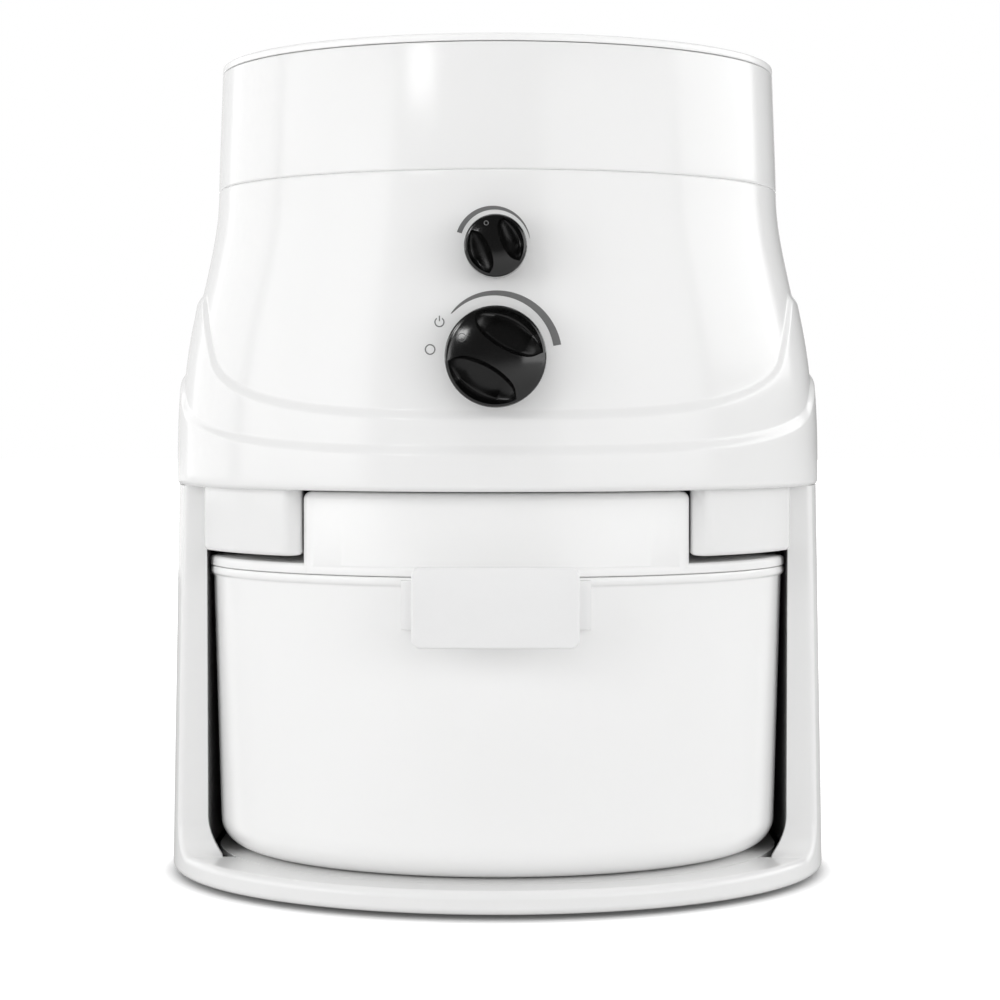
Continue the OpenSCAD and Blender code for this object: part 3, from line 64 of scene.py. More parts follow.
class Value:
    """A number that flows through a node tree; arithmetic on it adds Math nodes."""

    def __init__(self, graph, socket):
        self.graph, self.socket = graph, socket

    def _math(self, operation, *terms):
        node = self.graph.add("ShaderNodeMath", {"operation": operation}, dict(enumerate(terms)))
        return Value(self.graph, node.outputs[0])

    def __add__(self, other): return self._math("ADD", self, other)
    def __radd__(self, other): return self._math("ADD", other, self)
    def __sub__(self, other): return self._math("SUBTRACT", self, other)
    def __rsub__(self, other): return self._math("SUBTRACT", other, self)
    def __mul__(self, other): return self._math("MULTIPLY", self, other)
    def __rmul__(self, other): return self._math("MULTIPLY", other, self)
    def __truediv__(self, other): return self._math("DIVIDE", self, other)
    def __pow__(self, other): return self._math("POWER", self, other)
    def greatest(self, other): return self._math("MAXIMUM", self, other)

    def between(self, low, high):
        """0 below low, 1 above high and a smooth step from one to the other."""
        node = self.graph.add("ShaderNodeMapRange", {"interpolation_type": "SMOOTHSTEP"},
                              {0: self, 1: low, 2: high, 3: 0.0, 4: 1.0})
        return Value(self.graph, node.outputs[0])


class Graph:
    """A node tree whose nodes and links come from expressions."""

    def __init__(self, tree):
        self.tree = tree

    def add(self, kind, settings=None, sockets=None):
        """Any node: its settings first, then the values or links of its sockets."""
        node = self.tree.nodes.new(kind)
        for key, value in (settings or {}).items():
            setattr(node, key, value)
        for key, value in (sockets or {}).items():
            self.feed(node.inputs[key], value)
        return node

    def feed(self, socket, value):
        """Links a Value or a node's output to the socket, or sets the socket to a plain number or colour."""
        if isinstance(value, Value):
            value = value.socket
        if isinstance(value, bpy.types.NodeSocket):
            self.tree.links.new(value, socket)
        else:
            socket.default_value = value

    def ray(self, kind):
        """1 for light rays of one kind, 0 for the others."""
        return Value(self, self.add("ShaderNodeLightPath").outputs[f"Is {kind} Ray"])

    def blend(self, factor, low, high):
        """Colour that goes from low to high as factor goes from 0 to 1."""
        node = self.add("ShaderNodeMix", {"data_type": "RGBA"}, {"Factor": factor, "A": rgba(low), "B": rgba(high)})
        return node.outputs["Result"]


class Finish(Graph):
    """A Principled material whose changing sockets are written as expressions."""

    def __init__(self, name, **constants):
        self.material = bpy.data.materials.new(name)
        self.material.use_nodes = True
        super().__init__(self.material.node_tree)
        self.shader = self.tree.nodes["Principled BSDF"]
        for socket, value in constants.items():
            self.shader.inputs[socket.replace("_", " ")].default_value = value
        FINISH[name] = self

    def object_space(self):
        return self.add("ShaderNodeTexCoord").outputs["Object"]

    def along(self, axis):
        """Object coordinate along one axis, in metres."""
        parts = self.add("ShaderNodeSeparateXYZ", sockets={0: self.object_space()})
        return Value(self, parts.outputs["XYZ".index(axis)])

    def grain(self, scale, detail=2.0, rough=0.5, stretch=None):
        """Noise from 0 to 1 on Object coordinates; scale is in features per metre."""
        place = self.object_space()
        if stretch:
            place = self.add("ShaderNodeMapping", sockets={"Vector": place, "Scale": stretch}).outputs[0]
        node = self.add("ShaderNodeTexNoise", sockets={"Vector": place, "Scale": scale, "Detail": detail,
                                                       "Roughness": rough})
        return Value(self, node.outputs[0])

    def colour(self, factor, low, high):
        self.feed(self.shader.inputs["Base Color"], self.blend(factor, low, high))

    def roughness(self, value):
        self.feed(self.shader.inputs["Roughness"], value)

    def bump(self, height, depth, strength):
        """height is 0 to 1, depth in metres."""
        node = self.add("ShaderNodeBump", sockets={"Height": height, "Strength": strength, "Distance": depth})
        self.feed(self.shader.inputs["Normal"], node.outputs[0])


def moulded_white(name, level, gloss, speck=0.012):
    """Injection-moulded white: faint tone drift, a little mottling in the gloss and a very fine orange peel."""
    finish = Finish(name, Specular_IOR_Level=0.5)
    finish.colour(finish.grain(9.0), grey(level - speck, (1, 1, 0.995)), grey(level + speck, (1, 1, 0.998)))
    finish.roughness(gloss + 0.05 * finish.grain(45.0, 3.0))
    finish.bump(finish.grain(420.0) + 0.4 * finish.grain(1500.0), 0.00004, 0.35)


def brushed_metal(name, colour, gloss, stretch=(1, 1, 14)):
    """Metal with fine lines: one stretched noise darkens, dulls and roughens it along the lines."""
    finish = Finish(name, Metallic=1.0)
    lines = finish.grain(600.0, 4.0, 0.6, stretch)
    finish.colour(lines, grey(0.82, colour), colour)
    finish.roughness(gloss + 0.16 * lines)
    finish.bump(lines, 0.00003, 0.5)


def plain_moulding(name, dark, light, gloss, scale=300.0, **constants):
    """A moulded or cast part: one noise mottles its tone, its gloss and its surface."""
    finish = Finish(name, **constants)
    mottle = finish.grain(scale, 3.0)
    finish.colour(mottle, dark, light)
    finish.roughness(gloss + 0.12 * mottle)
    finish.bump(mottle, 0.00005, 0.4)


def printed_grey(name, dark, light, gloss, scale):
    """Matte grey print: a fine speckle in its tone and a finer one in its gloss."""
    finish = Finish(name)
    finish.colour(finish.grain(scale), grey(dark), grey(light))
    finish.roughness(gloss + 0.1 * finish.grain(1500.0))


def build_finishes():
    moulded_white("white_shell", 0.87, 0.14)
    moulded_white("white_bowl", 0.93, 0.21)
    moulded_white("lid_clear_white", 0.95, 0.2, 0.006)
    brushed_metal("steel", (0.66, 0.67, 0.69), 0.22)
    brushed_metal("lamination", (0.3, 0.31, 0.33), 0.4, (1, 1, 60))
    brushed_metal("copper", (0.72, 0.3, 0.14), 0.28, (1, 1, 30))
    plain_moulding("cast_alloy", grey(0.42), grey(0.5), 0.4, 800.0, Metallic=1.0)
    # Dark grey of the bay liner and base pan: partly their own tone, partly painted shade, kept darker so the gaps
    # between the pillars and the bowl look shaded
    plain_moulding("liner_grey", grey(0.2), grey(0.24), 0.45)
    plain_moulding("gear_nylon", (0.68, 0.65, 0.55), (0.74, 0.71, 0.6), 0.38)
    plain_moulding("rubber_black", grey(0.018), grey(0.03), 0.7, 900.0)
    plain_moulding("silicone", (0.5, 0.11, 0.06), (0.56, 0.13, 0.07), 0.5)
    plain_moulding("gasket_white", grey(0.62), grey(0.68), 0.55)
    plain_moulding("dark_moulding", grey(0.03), grey(0.045), 0.42)
    plain_moulding("board_green", (0.02, 0.12, 0.05), (0.03, 0.17, 0.07), 0.35)
    plain_moulding("carbon", grey(0.02), grey(0.04), 0.55, 1200.0)
    printed_grey("dial_ink", 0.16, 0.19, 0.4, 700.0)
    printed_grey("pointer_mark", 0.14, 0.18, 0.35, 900.0)

    foam = Finish("foam")
    pores = foam.grain(1400.0, 3.0)
    foam.colour(pores, grey(0.05), grey(0.16))
    foam.roughness(0.85 + 0.12 * pores)
    foam.bump(foam.grain(1400.0, 5.0), 0.0006, 0.9)

    knob_face = Finish("black_knob", Specular_IOR_Level=0.9, Coat_Weight=0.6, Coat_Roughness=0.12)
    fine = knob_face.grain(1800.0, 3.0)
    knob_face.colour(fine, grey(0.002), grey(0.004))
    knob_face.roughness(0.12 + 0.05 * knob_face.grain(70.0))
    knob_face.bump(fine, 0.00002, 0.3)

    scoop = Finish("black_knob_matte", Specular_IOR_Level=0.7)
    fine = scoop.grain(2600.0, 3.0)
    scoop.colour(fine, grey(0.002), grey(0.005))
    scoop.roughness(0.15 + 0.1 * fine)
    scoop.bump(fine, 0.00005, 0.5)

    grip = Finish("frosted_grip", Transmission_Weight=0.14, IOR=1.46)
    grip.colour(grip.grain(160.0, 3.0), grey(0.945), grey(0.965))
    grip.roughness(0.42 + 0.12 * grip.grain(900.0))
    grip.bump(grip.grain(1600.0, 3.0), 0.00004, 0.5)


build_finishes()


# ---------------------------------------------------------------- shapes

def placed(name, data):
    """A new object for a mesh, lamp or camera, linked into the scene."""
    thing = bpy.data.objects.new(name, data)
    bpy.context.scene.collection.objects.link(thing)
    return thing


class Shape:
    """Grids of points in millimetres that are gathered and then made into one mesh."""

    def __init__(self):
        self.points, self.faces, self.slots, self.count = [], [], [], 0

    def grid(self, rows, wrap=True, caps=(False, False), slot=0):
        """rows[i, j] is a point; quads join neighbouring rows and columns, and caps close the first or last row."""
        rows = np.asarray(rows, float)
        m, n = rows.shape[:2]
        index = self.count + np.arange(m * n).reshape(m, n)
        right = np.roll(index, -1, axis=1) if wrap else index[:, 1:]
        left = index if wrap else index[:, :-1]
        faces = np.stack([left[:-1], right[:-1], right[1:], left[1:]], axis=-1).reshape(-1, 4).tolist()
        if caps[0]:
            faces.append(index[0, ::-1].tolist())
        if caps[1]:
            faces.append(index[-1].tolist())
        self.points.append(rows.reshape(-1, 3))
        self.faces += faces
        self.slots += [slot] * len(faces)
        self.count += m * n
        return self

    def mesh(self, name, sharp):
        mesh = bpy.data.meshes.new(name)
        mesh.from_pydata((np.concatenate(self.points) * MM).tolist(), [], self.faces)
        mesh.polygons.foreach_set("material_index", self.slots)
        soften(mesh, sharp)
        return mesh

    def piece(self, name, finishes, body, replaces=(), slot=None, sharp=35.0):
        """The mesh as a named piece that rides on a body, with one finish or one for each slot of its faces."""
        finishes = finishes if isinstance(finishes, list) else [finishes]
        mesh = self.mesh(name, sharp)
        for finish in finishes:
            mesh.materials.append(FINISH[finish].material)
        piece = placed(name, mesh)
        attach(piece, body)
        if replaces:
            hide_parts(*replaces)
        return piece


def soften(mesh, sharp):
    """Merges doubled points, turns the faces outwards, and shades smooth up to the sharp angle."""
    work = bmesh.new()
    work.from_mesh(mesh)
    bmesh.ops.remove_doubles(work, verts=work.verts, dist=2e-6)
    bmesh.ops.dissolve_degenerate(work, dist=1e-7, edges=work.edges)
    bmesh.ops.recalc_face_normals(work, faces=work.faces)
    for face in work.faces:
        face.smooth = True
    limit = math.radians(sharp)
    for edge in work.edges:
        edge.smooth = len(edge.link_faces) == 2 and edge.calc_face_angle(0) < limit
    work.to_mesh(mesh)
    work.free()


def combine(piece, operation, shapes, sharp=35.0):
    """Unites a closed piece with closed shapes, or takes them out of it, and shades it again."""
    tools = []
    for number, shape in enumerate(shapes):
        tool = placed(f"tool_{number}", shape.mesh(f"tool_{number}", sharp))
        step = piece.modifiers.new("step", "BOOLEAN")
        step.operation, step.solver, step.object = operation, "EXACT", tool
        tools.append(tool)
    bpy.context.view_layer.update()
    result = bpy.data.meshes.new_from_object(piece.evaluated_get(bpy.context.evaluated_depsgraph_get()))
    piece.modifiers.clear()
    for tool in tools:
        bpy.data.objects.remove(tool)
    piece.data = result
    soften(result, sharp)


def at_height(outline, z):
    """A plan of points (x, y) lifted to height z."""
    return np.column_stack([outline, np.full(len(outline), z)])


def quarter_turn(steps):
    """Pairs (1 - sin, 1 - cos) over a quarter turn: what is left to go inwards and what is gone upwards."""
    t = np.linspace(0, np.pi / 2, steps)
    return list(zip(1 - np.sin(t), 1 - np.cos(t)))


def revolve(profile, columns=192):
    """Points (radius, height) carried round the Z axis."""
    profile = np.asarray(profile, float)
    angle = np.arange(columns) / columns * TAU
    return np.stack([profile[:, :1] * np.sin(angle), -profile[:, :1] * np.cos(angle),
                     np.repeat(profile[:, 1:], columns, axis=1)], axis=-1)


def rounded_corner(before, corner, after, radius, steps=5):
    """Points of a quarter-like arc that rounds one corner of a profile."""
    corner = np.asarray(corner, float)
    a = np.asarray(before, float) - corner
    b = np.asarray(after, float) - corner
    a, b = a / np.linalg.norm(a), b / np.linalg.norm(b)
    t = np.linspace(0, 1, steps)[:, None]
    start, end = corner + a * radius, corner + b * radius
    return (1 - t) ** 2 * start + 2 * t * (1 - t) * corner + t ** 2 * end


def rounded_profile(points, radii, closed=True):
    """A polyline whose corners are rounded by their own radii; a radius of 0 keeps the corner."""
    out = []
    n = len(points)
    for i, (point, radius) in enumerate(zip(points, radii)):
        if radius <= 0 or (not closed and i in (0, n - 1)):
            out.append(np.asarray([point], float))
        else:
            out.append(rounded_corner(points[i - 1], point, points[(i + 1) % n], radius))
    return np.concatenate(out)


def power(value, exponent):
    return np.sign(value) * np.abs(value) ** exponent


def block(centre, half, radius, steps=6):
    """A box with round edges and an octant of a ball at each corner; its flat top and bottom are the grid's caps."""
    centre, half = np.asarray(centre, float), np.asarray(half, float)
    quarter = np.linspace(0, np.pi / 2, steps)
    lat = np.concatenate([quarter - np.pi / 2, quarter])
    lat_side = np.repeat([-1.0, 1.0], steps)
    lon = np.concatenate([quarter + k * np.pi / 2 for k in range(4)])
    side_x = np.repeat([1.0, -1.0, -1.0, 1.0], steps)
    side_y = np.repeat([1.0, 1.0, -1.0, -1.0], steps)
    inner = half - radius
    x = radius * np.outer(np.cos(lat), np.cos(lon)) + side_x * inner[0]
    y = radius * np.outer(np.cos(lat), np.sin(lon)) + side_y * inner[1]
    z = radius * np.sin(lat)[:, None] + (lat_side * inner[2])[:, None] + 0 * x
    return np.stack([x, y, z], axis=-1) + centre


# Motor housing

SKIRT_HALF, BODY_FRONT, BODY_REAR, REAR_SQUARE = 138.4, 124.0, 133.0, 0.8
RING_R, SKIRT_Z, SEAM_Z, WALL = 120.0, 167.0, 292.0, 3.0
HEM_H, HEM_IN, SEAM_EDGE = 2.2, 2.0, 0.9
TIER_STEP, TIER_LEAD, TIER_RISE, TIER_TAIL = 1.7, 1.2, 3.0, 0.6
TOP_INSET = 2 * TIER_STEP
SIDE_BULGE = SKIRT_HALF - RING_R - TOP_INSET
# Lowest height in front, height along the sides, and half the width, of each shoulder
LOW_SHOULDER = (181.9, 212.0, SKIRT_HALF * 0.985)
HIGH_SHOULDER = (195.7, 245.0, SKIRT_HALF * 0.925)
VENTS, VENT_PITCH, VENT_PLACE, VENT_HALF, VENT_R = 9, 9.0, (131.0, 216.0), (2.0, 40.0, 15.0), 1.9
GLAND_Z, GLAND_R = 184.0, 6.0


def flare(z):
    """Share of the skirt's spread left at height z: a half cosine, 1 at the skirt and 0 at the seam."""
    return (1 + np.cos(np.pi * np.clip((z - SKIRT_Z) / (SEAM_Z - SKIRT_Z), 0, 1) ** 1.5)) / 2


def housing_point(phi, z, inset):
    """Outline at height z: an ellipse in front and a squarer one behind, drawn in by inset."""
    f = flare(z)
    back = np.cos(phi) < 0
    e = 2 / (2 + REAR_SQUARE * f)
    a = RING_R + TOP_INSET + SIDE_BULGE * f - inset
    b = RING_R + TOP_INSET - inset + (np.where(back, BODY_REAR, BODY_FRONT) - RING_R - TOP_INSET) * f
    s, c = np.sin(phi), np.cos(phi)
    x = a * np.where(back, power(s, e), s)
    y = -b * np.where(back, power(c, e), c)
    return np.stack(np.broadcast_arrays(x, y, z), axis=-1)


def shoulder(phi, low, high, half_width, curve=3.4):
    """Height of a moulded shoulder: a flat-bottomed curve |x|^3.4 + |z|^3.4 = 1 in front, level along the sides.

    It is averaged over 13 degrees, which rounds the bend where the curve meets the level part.
    """
    spread = np.radians(np.linspace(-6.5, 6.5, 14))[:, None]
    angle = phi[None, :] + spread
    x = np.minimum(1, np.abs(np.sin(angle)) * SKIRT_HALF / half_width)
    rise = high - (high - low) * (1 - x ** curve) ** (1 / curve)
    return np.where(np.cos(angle) > 0, rise, high).mean(axis=0)


def smooth_step(t):
    return t * t * (3 - 2 * t)


def housing_rows(phi):
    """Rows of (height, inset) arrays up the skin: rounded hem, lower shoulder, upper shoulder, panel, top edge."""
    flat = np.ones_like(phi)
    rows = [(flat * (SKIRT_Z + HEM_H * gone), HEM_IN * left) for left, gone in quarter_turn(7)]
    start, inset = SKIRT_Z + HEM_H, 0.0
    for foot in (shoulder(phi, *LOW_SHOULDER), shoulder(phi, *HIGH_SHOULDER)):
        for t in np.linspace(0, 1, 9)[1:]:
            rows.append((start + (foot - TIER_LEAD - start) * t, inset))
        start = foot - TIER_LEAD
        for t in np.linspace(0, 1, 15)[1:]:
            rows.append((start + (TIER_LEAD + TIER_RISE + TIER_TAIL) * t, inset + TIER_STEP * smooth_step(t)))
        start, inset = foot + TIER_RISE + TIER_TAIL, inset + TIER_STEP
    for t in np.linspace(0, 1, 31)[1:]:
        rows.append((start + (SEAM_Z - SEAM_EDGE - start) * t, inset))
    for t in np.linspace(0, 1, 5)[1:]:
        rows.append((flat * (SEAM_Z - SEAM_EDGE * (1 - t)), inset + 0.6 * (1 - math.cos(t * math.pi / 2))))
    return rows


def motor_housing():
    """Closed skin with a plainer wall inside, and the cord's hole taken out at the back.

    The cooling slots' blocks have no caps, so they add only the slots' side walls, and the skin stays shut there.
    """
    phi = np.linspace(0, TAU, 360, endpoint=False)
    outside = [housing_point(phi, z, inset) for z, inset in housing_rows(phi)]
    inside = [housing_point(phi, z + 0 * phi, TOP_INSET + WALL) for z in np.linspace(SEAM_Z - 1.2, SKIRT_Z, 12)]
    shape = Shape().grid(np.array(outside + inside + outside[:1]))
    piece = shape.piece("housing_skin", "white_shell", "mill_body", ["motor_housing"])
    holes = Shape()
    for number in range(VENTS):
        x = (number - VENTS // 2) * VENT_PITCH
        holes.grid(block([x, *VENT_PLACE], VENT_HALF, VENT_R))
    turn = np.linspace(0, TAU, 48, endpoint=False)
    ring = np.stack([GLAND_R * np.cos(turn), 0 * turn, GLAND_Z + GLAND_R * np.sin(turn)], axis=-1)
    holes.grid(np.array([ring + [0, BODY_REAR - 30, 0], ring + [0, BODY_REAR + 5, 0]]), caps=BOTH)
    combine(piece, "DIFFERENCE", [holes])


# Lower shell

BASE_HALF, PAN_Z, LEDGE_Z, PILLAR_Y, SWEEP_R, EDGE_R = 141.0, 2.0, 11.3, -34.0, 14.0, 3.0
BASE_HEM_H, BASE_HEM_IN, PAN_LAP, RIM_LAP = 2.6, 2.2, 3.1, 4.0
# Where the ledge meets the floor, and the round lower corner of the bay's mouth with its centre above the ledge
FLOOR_HALF, FLOOR_FRONT = BASE_HALF - 20.0, BODY_FRONT - 16.0
MOUTH_HALF, MOUTH_R, MOUTH_CENTRE = 122.7, 20.0, 15.7
LEAN = (BASE_HALF - SKIRT_HALF + 0.7) / (SKIRT_Z - PAN_Z)


def shell_point(phi, z, inset=0.0):
    """Outline of the base at height z, leaning in a little towards the skirt."""
    lean = LEAN * np.maximum(0, z - PAN_Z)
    a = BASE_HALF - lean - inset
    back = np.cos(phi) < 0
    b = np.where(back, BODY_REAR, BODY_FRONT) - 0.4 * lean - inset
    e = 2 / (2 + REAR_SQUARE)
    s, c = np.sin(phi), np.cos(phi)
    return np.stack(np.broadcast_arrays(a * np.where(back, power(s, e), s), -b * np.where(back, power(c, e), c), z),
                    axis=-1)


def front_angle(y, z):
    """Angle at which the base's outline passes depth y at height z."""
    return np.arccos(-y / (BODY_FRONT - 0.4 * LEAN * np.maximum(0, z - PAN_Z)))


def on_face(x, s):
    """Point of the front face at width x and length s, measured along its profile from the foot of the sweep."""
    bend = np.clip(s / SWEEP_R, 0, np.pi / 2)
    y = PILLAR_Y - SWEEP_R + np.minimum(s, 0) + SWEEP_R * np.sin(bend)
    height = LEDGE_Z + SWEEP_R * (1 - np.cos(bend)) + np.maximum(0, s - SWEEP_R * np.pi / 2)
    return np.stack([x, y, height], axis=-1)


def mouth_line(ledge_phi, phi_ledge, sweep_count, total, top_length):
    """Inner edge of the front face, as widths and lengths: the floor's oval, the mouth's round corner, its side."""
    x, length = np.empty(total), np.empty(total)
    n = len(ledge_phi)
    floor_end = math.acos((SWEEP_R - PILLAR_Y) / FLOOR_FRONT)
    inner_phi = ledge_phi / phi_ledge * floor_end
    x[:n] = FLOOR_HALF * np.sin(inner_phi)
    length[:n] = -FLOOR_FRONT * np.cos(inner_phi) - (PILLAR_Y - SWEEP_R)
    corner = np.arcsin(MOUTH_CENTRE / MOUTH_R)
    hop = sweep_count // 4
    mouth_low = MOUTH_HALF - MOUTH_R + MOUTH_R * math.cos(corner)
    x[n:n + hop] = np.linspace(FLOOR_HALF * math.sin(floor_end), mouth_low, hop + 1)[:-1]
    length[n:n + hop] = 0.0
    turn = np.linspace(-corner, 0, sweep_count - hop + 9)
    rise = np.maximum(MOUTH_CENTRE + MOUTH_R * np.sin(turn), 0)
    arc_length = np.where(rise < SWEEP_R, SWEEP_R * np.arccos(np.clip(1 - rise / SWEEP_R, -1, 1)),
                          SWEEP_R * np.pi / 2 + rise - SWEEP_R)
    stop = n + hop + len(turn)
    x[n + hop:stop] = MOUTH_HALF - MOUTH_R + MOUTH_R * np.cos(turn)
    length[n + hop:stop] = arc_length
    x[stop:] = MOUTH_HALF
    length[stop:] = np.linspace(arc_length[-1], top_length, total - stop + 1)[1:]
    return x, length


def lower_shell():
    """Skin, rounded edge, front face and return of the U-shaped front, all carried along the edge of the opening.

    The edge runs along the ledge, up the round sweep and up the pillar. Each station has two normals, one of
    the skin and one of the face, and the edge between them is an arc of 3 mm radius. The skin has no inner
    side: skirt, liner and pan hide it.
    """
    low, top, side = PAN_Z + BASE_HEM_H, SKIRT_Z, np.pi / 2
    phi_ledge = front_angle(PILLAR_Y - SWEEP_R, LEDGE_Z)
    ledge_phi = np.linspace(0, phi_ledge, 70)[:-1]
    theta = np.linspace(0, np.pi / 2, 17)[:-1]
    rise = np.linspace(0, 1, 44)
    sweep_y = PILLAR_Y - SWEEP_R + SWEEP_R * np.sin(theta)
    sweep_z = LEDGE_Z + SWEEP_R * (1 - np.cos(theta))
    pillar_z = LEDGE_Z + SWEEP_R + (top - LEDGE_Z - SWEEP_R) * rise
    z = np.concatenate([LEDGE_Z + 0 * ledge_phi, sweep_z, pillar_z])
    phi = np.concatenate([ledge_phi, front_angle(sweep_y, sweep_z), front_angle(PILLAR_Y, pillar_z)])
    tilt = np.concatenate([0 * ledge_phi, theta, np.pi / 2 + 0 * pillar_z])

    # The two normals at each station, from steps along the edge and up the skin
    edge = shell_point(phi, z)
    step = 1e-4
    along = (shell_point(phi + step, z) - edge) / step
    upward = (shell_point(phi, z + 0.1) - edge) / 0.1
    skin = np.cross(along, upward)
    skin /= np.linalg.norm(skin, axis=1)[:, None]
    face = np.stack([0 * tilt, -np.sin(tilt), np.cos(tilt)], axis=-1)
    cosine = (skin * face).sum(axis=1)
    centre = edge - EDGE_R * (skin + face) / (1 + cosine)[:, None]
    opening = np.arccos(cosine)

    def arc(t):
        a = np.sin((1 - t) * opening) / np.sin(opening)
        b = np.sin(t * opening) / np.sin(opening)
        return centre + EDGE_R * (a[:, None] * skin + b[:, None] * face)

    # Skin from the hem, or the side's own columns, to the start of the rounded edge
    away = -(face - cosine[:, None] * skin)
    away /= np.linalg.norm(away, axis=1)[:, None]
    reach = EDGE_R * np.sqrt((1 - cosine) / (1 + cosine))
    phi_start = phi + reach * (away * along).sum(axis=1) / np.linalg.norm(along, axis=1) ** 2
    z_start = np.minimum(z + reach * away[:, 2], top)
    sweep_end = phi_ledge + (side - phi_ledge) * np.linspace(0, 1, 17)[:-1]
    phi_end = np.concatenate([ledge_phi, sweep_end, side + 0 * rise])
    z_end = np.concatenate([low + 0 * ledge_phi, low + 0 * theta, low + (top - low) * rise])
    rows = [shell_point(phi_start + (phi_end - phi_start) * t, z_start + (z_end - z_start) * t)
            for t in np.linspace(1, 0, 15)[:-1]]
    rows += [arc(t) for t in np.linspace(0, 1, 7)]

    # Front face, from the rounded edge in to the floor's seam and the mouth
    face_x = rows[-1][:, 0]
    length = np.concatenate([rows[-1][:len(ledge_phi), 1] - (PILLAR_Y - SWEEP_R), SWEEP_R * theta,
                             SWEEP_R * np.pi / 2 + pillar_z - pillar_z[0]])
    inner_x, inner_length = mouth_line(ledge_phi, phi_ledge, len(theta), len(face_x), length[-1])
    for t in np.linspace(0, 1, 11)[1:]:
        rows.append(on_face(face_x + (inner_x - face_x) * t, length + (inner_length - length) * t))

    # The return turns down into the floor's seam along the ledge, and backwards along the pillars
    last = rows[-1]
    back = np.zeros_like(last)
    back[:len(ledge_phi) + 1, 2] = -1.0
    back[len(ledge_phi) + 1:, 1] = 1.0
    rows += [last + back * 0.4, last + back * 2.4]
    right = np.array(rows)
    shape = Shape().grid(right, wrap=False).grid(right * [-1, 1, 1], wrap=False)

    # Rim under the skirt, sides and back, then the rounded hem all the way round
    rim_phi = np.linspace(front_angle(PILLAR_Y, top), TAU - front_angle(PILLAR_Y, top), 241)
    shape.grid(np.array([shell_point(rim_phi, top + 0 * rim_phi),
                         shell_point(rim_phi, top - 0.4 + 0 * rim_phi, RIM_LAP)]), wrap=False)
    side_phi = np.linspace(side, TAU - side, 181)
    side_z = low + (top - low) * rise
    shape.grid(shell_point(side_phi[None, :], side_z[:, None] + 0 * side_phi[None, :]), wrap=False)
    front = len(ledge_phi) + len(theta)
    hem_phi = np.concatenate([phi_end[:front], side_phi, TAU - phi_end[1:front][::-1]])
    hem = [shell_point(hem_phi, low - BASE_HEM_H * (1 - left) + 0 * hem_phi, BASE_HEM_IN * gone)
           for left, gone in quarter_turn(7)]
    hem.append(shell_point(hem_phi, PAN_Z + 0 * hem_phi, PAN_LAP))
    shape.grid(np.array(hem)).piece("base_skin", "white_shell", "mill_body", ["lower_shell"])


# Guide rails

RAIL_Z, RAIL_INNER, RAIL_OUTER, RAIL_REAR, RAIL_SETBACK = 140.3, 78.0, 122.3, 41.0, 6.0
RAIL_CORNER, RAIL_FOOT = 7.0, 2.0


def guide_rail(side, name, node):
    """Rail whose plan has the skirt's front curve set back, a round inner edge and straight sides; round foot."""
    a, b = SKIRT_HALF - RAIL_SETBACK, BODY_FRONT - RAIL_SETBACK
    corner_x = RAIL_INNER + RAIL_CORNER
    corner_y = -b * math.sqrt(1 - (corner_x / a) ** 2) + RAIL_CORNER

    def plan(inset):
        front_x = np.linspace(RAIL_OUTER - inset, corner_x + 0.6, 30)
        front = np.stack([front_x, -(b - inset) * np.sqrt(1 - (front_x / (a - inset)) ** 2)], axis=-1)
        turn = np.radians(np.linspace(-103, -180, 14))
        r = RAIL_CORNER - inset
        arc = np.stack([corner_x + r * np.cos(turn), corner_y + r * np.sin(turn)], axis=-1)
        rear = RAIL_REAR - inset
        return np.concatenate([front, arc, [[RAIL_INNER + inset, rear], [RAIL_OUTER - inset, rear]]])

    rows = [at_height(plan(RAIL_FOOT * left), RAIL_Z + RAIL_FOOT * gone) for left, gone in quarter_turn(7)]
    rows.append(at_height(plan(0), SKIRT_Z))
    shape = Shape().grid(np.array(rows) * [side, 1, 1], caps=BOTH)
    shape.piece(name, "white_shell", "mill_body", [node], sharp=40)


# Hopper and its lid

HOPPER_TOP, HOPPER_R, FUNNEL_Z, THROAT_TOP = 341.5, 118.2, 322.0, 282.0


def hopper():
    """Ring, funnel and outlet: one closed profile carried round the Z axis."""
    inner = HOPPER_R - 2.6
    lip = RING_R - WALL - 0.3
    points = [(10, THROAT_TOP), (10, THROAT_TOP + 3), (inner - 7.4, FUNNEL_Z - 8), (lip - 1.8, SEAM_Z + 4),
              (lip - 1.8, SEAM_Z - 4), (lip, SEAM_Z - 4), (lip, SEAM_Z), (RING_R - 0.45, SEAM_Z + 0.05),
              (RING_R, SEAM_Z + 0.6), (RING_R - 0.2, SEAM_Z + 8), (HOPPER_R, HOPPER_TOP), (inner, HOPPER_TOP),
              (inner + 0.6, FUNNEL_Z), (inner - 30, FUNNEL_Z - 9), (16, THROAT_TOP + 9), (8, THROAT_TOP + 5),
              (8, THROAT_TOP)]
    radii = [0, 1, 2, 0, 0, 0, 0, 0.2, 0.4, 3, 0.7, 0.7, 5, 6, 3, 2, 0]
    profile = rounded_profile(points, radii)
    rows = revolve(np.concatenate([profile, profile[:1]]), 256)
    Shape().grid(rows).piece("hopper_ring", "white_shell", "mill_body", ["hopper"])


def hopper_lid():
    """Disc with a sunken middle and a locating skirt below: a profile carried round the Z axis."""
    z, rim = HOPPER_TOP + 0.3, HOPPER_R - 2.9
    top = z + 3.0
    points = [(0, z), (rim - 1.8, z), (rim - 1.8, z - 8), (rim, z - 8), (rim, z), (HOPPER_R, z), (HOPPER_R, top),
              (HOPPER_R - 7, top), (HOPPER_R - 8.5, top - 0.7), (0, top - 0.7)]
    radii = [0, 0.6, 0.4, 0.4, 0, 0.6, 1.3, 0.8, 0.8, 0]
    rows = revolve(rounded_profile(points, radii, closed=False), 256)
    Shape().grid(rows).piece("hopper_cover_disc", "lid_clear_white", "hopper_cover", ["hopper_lid"])


# Flour bowl

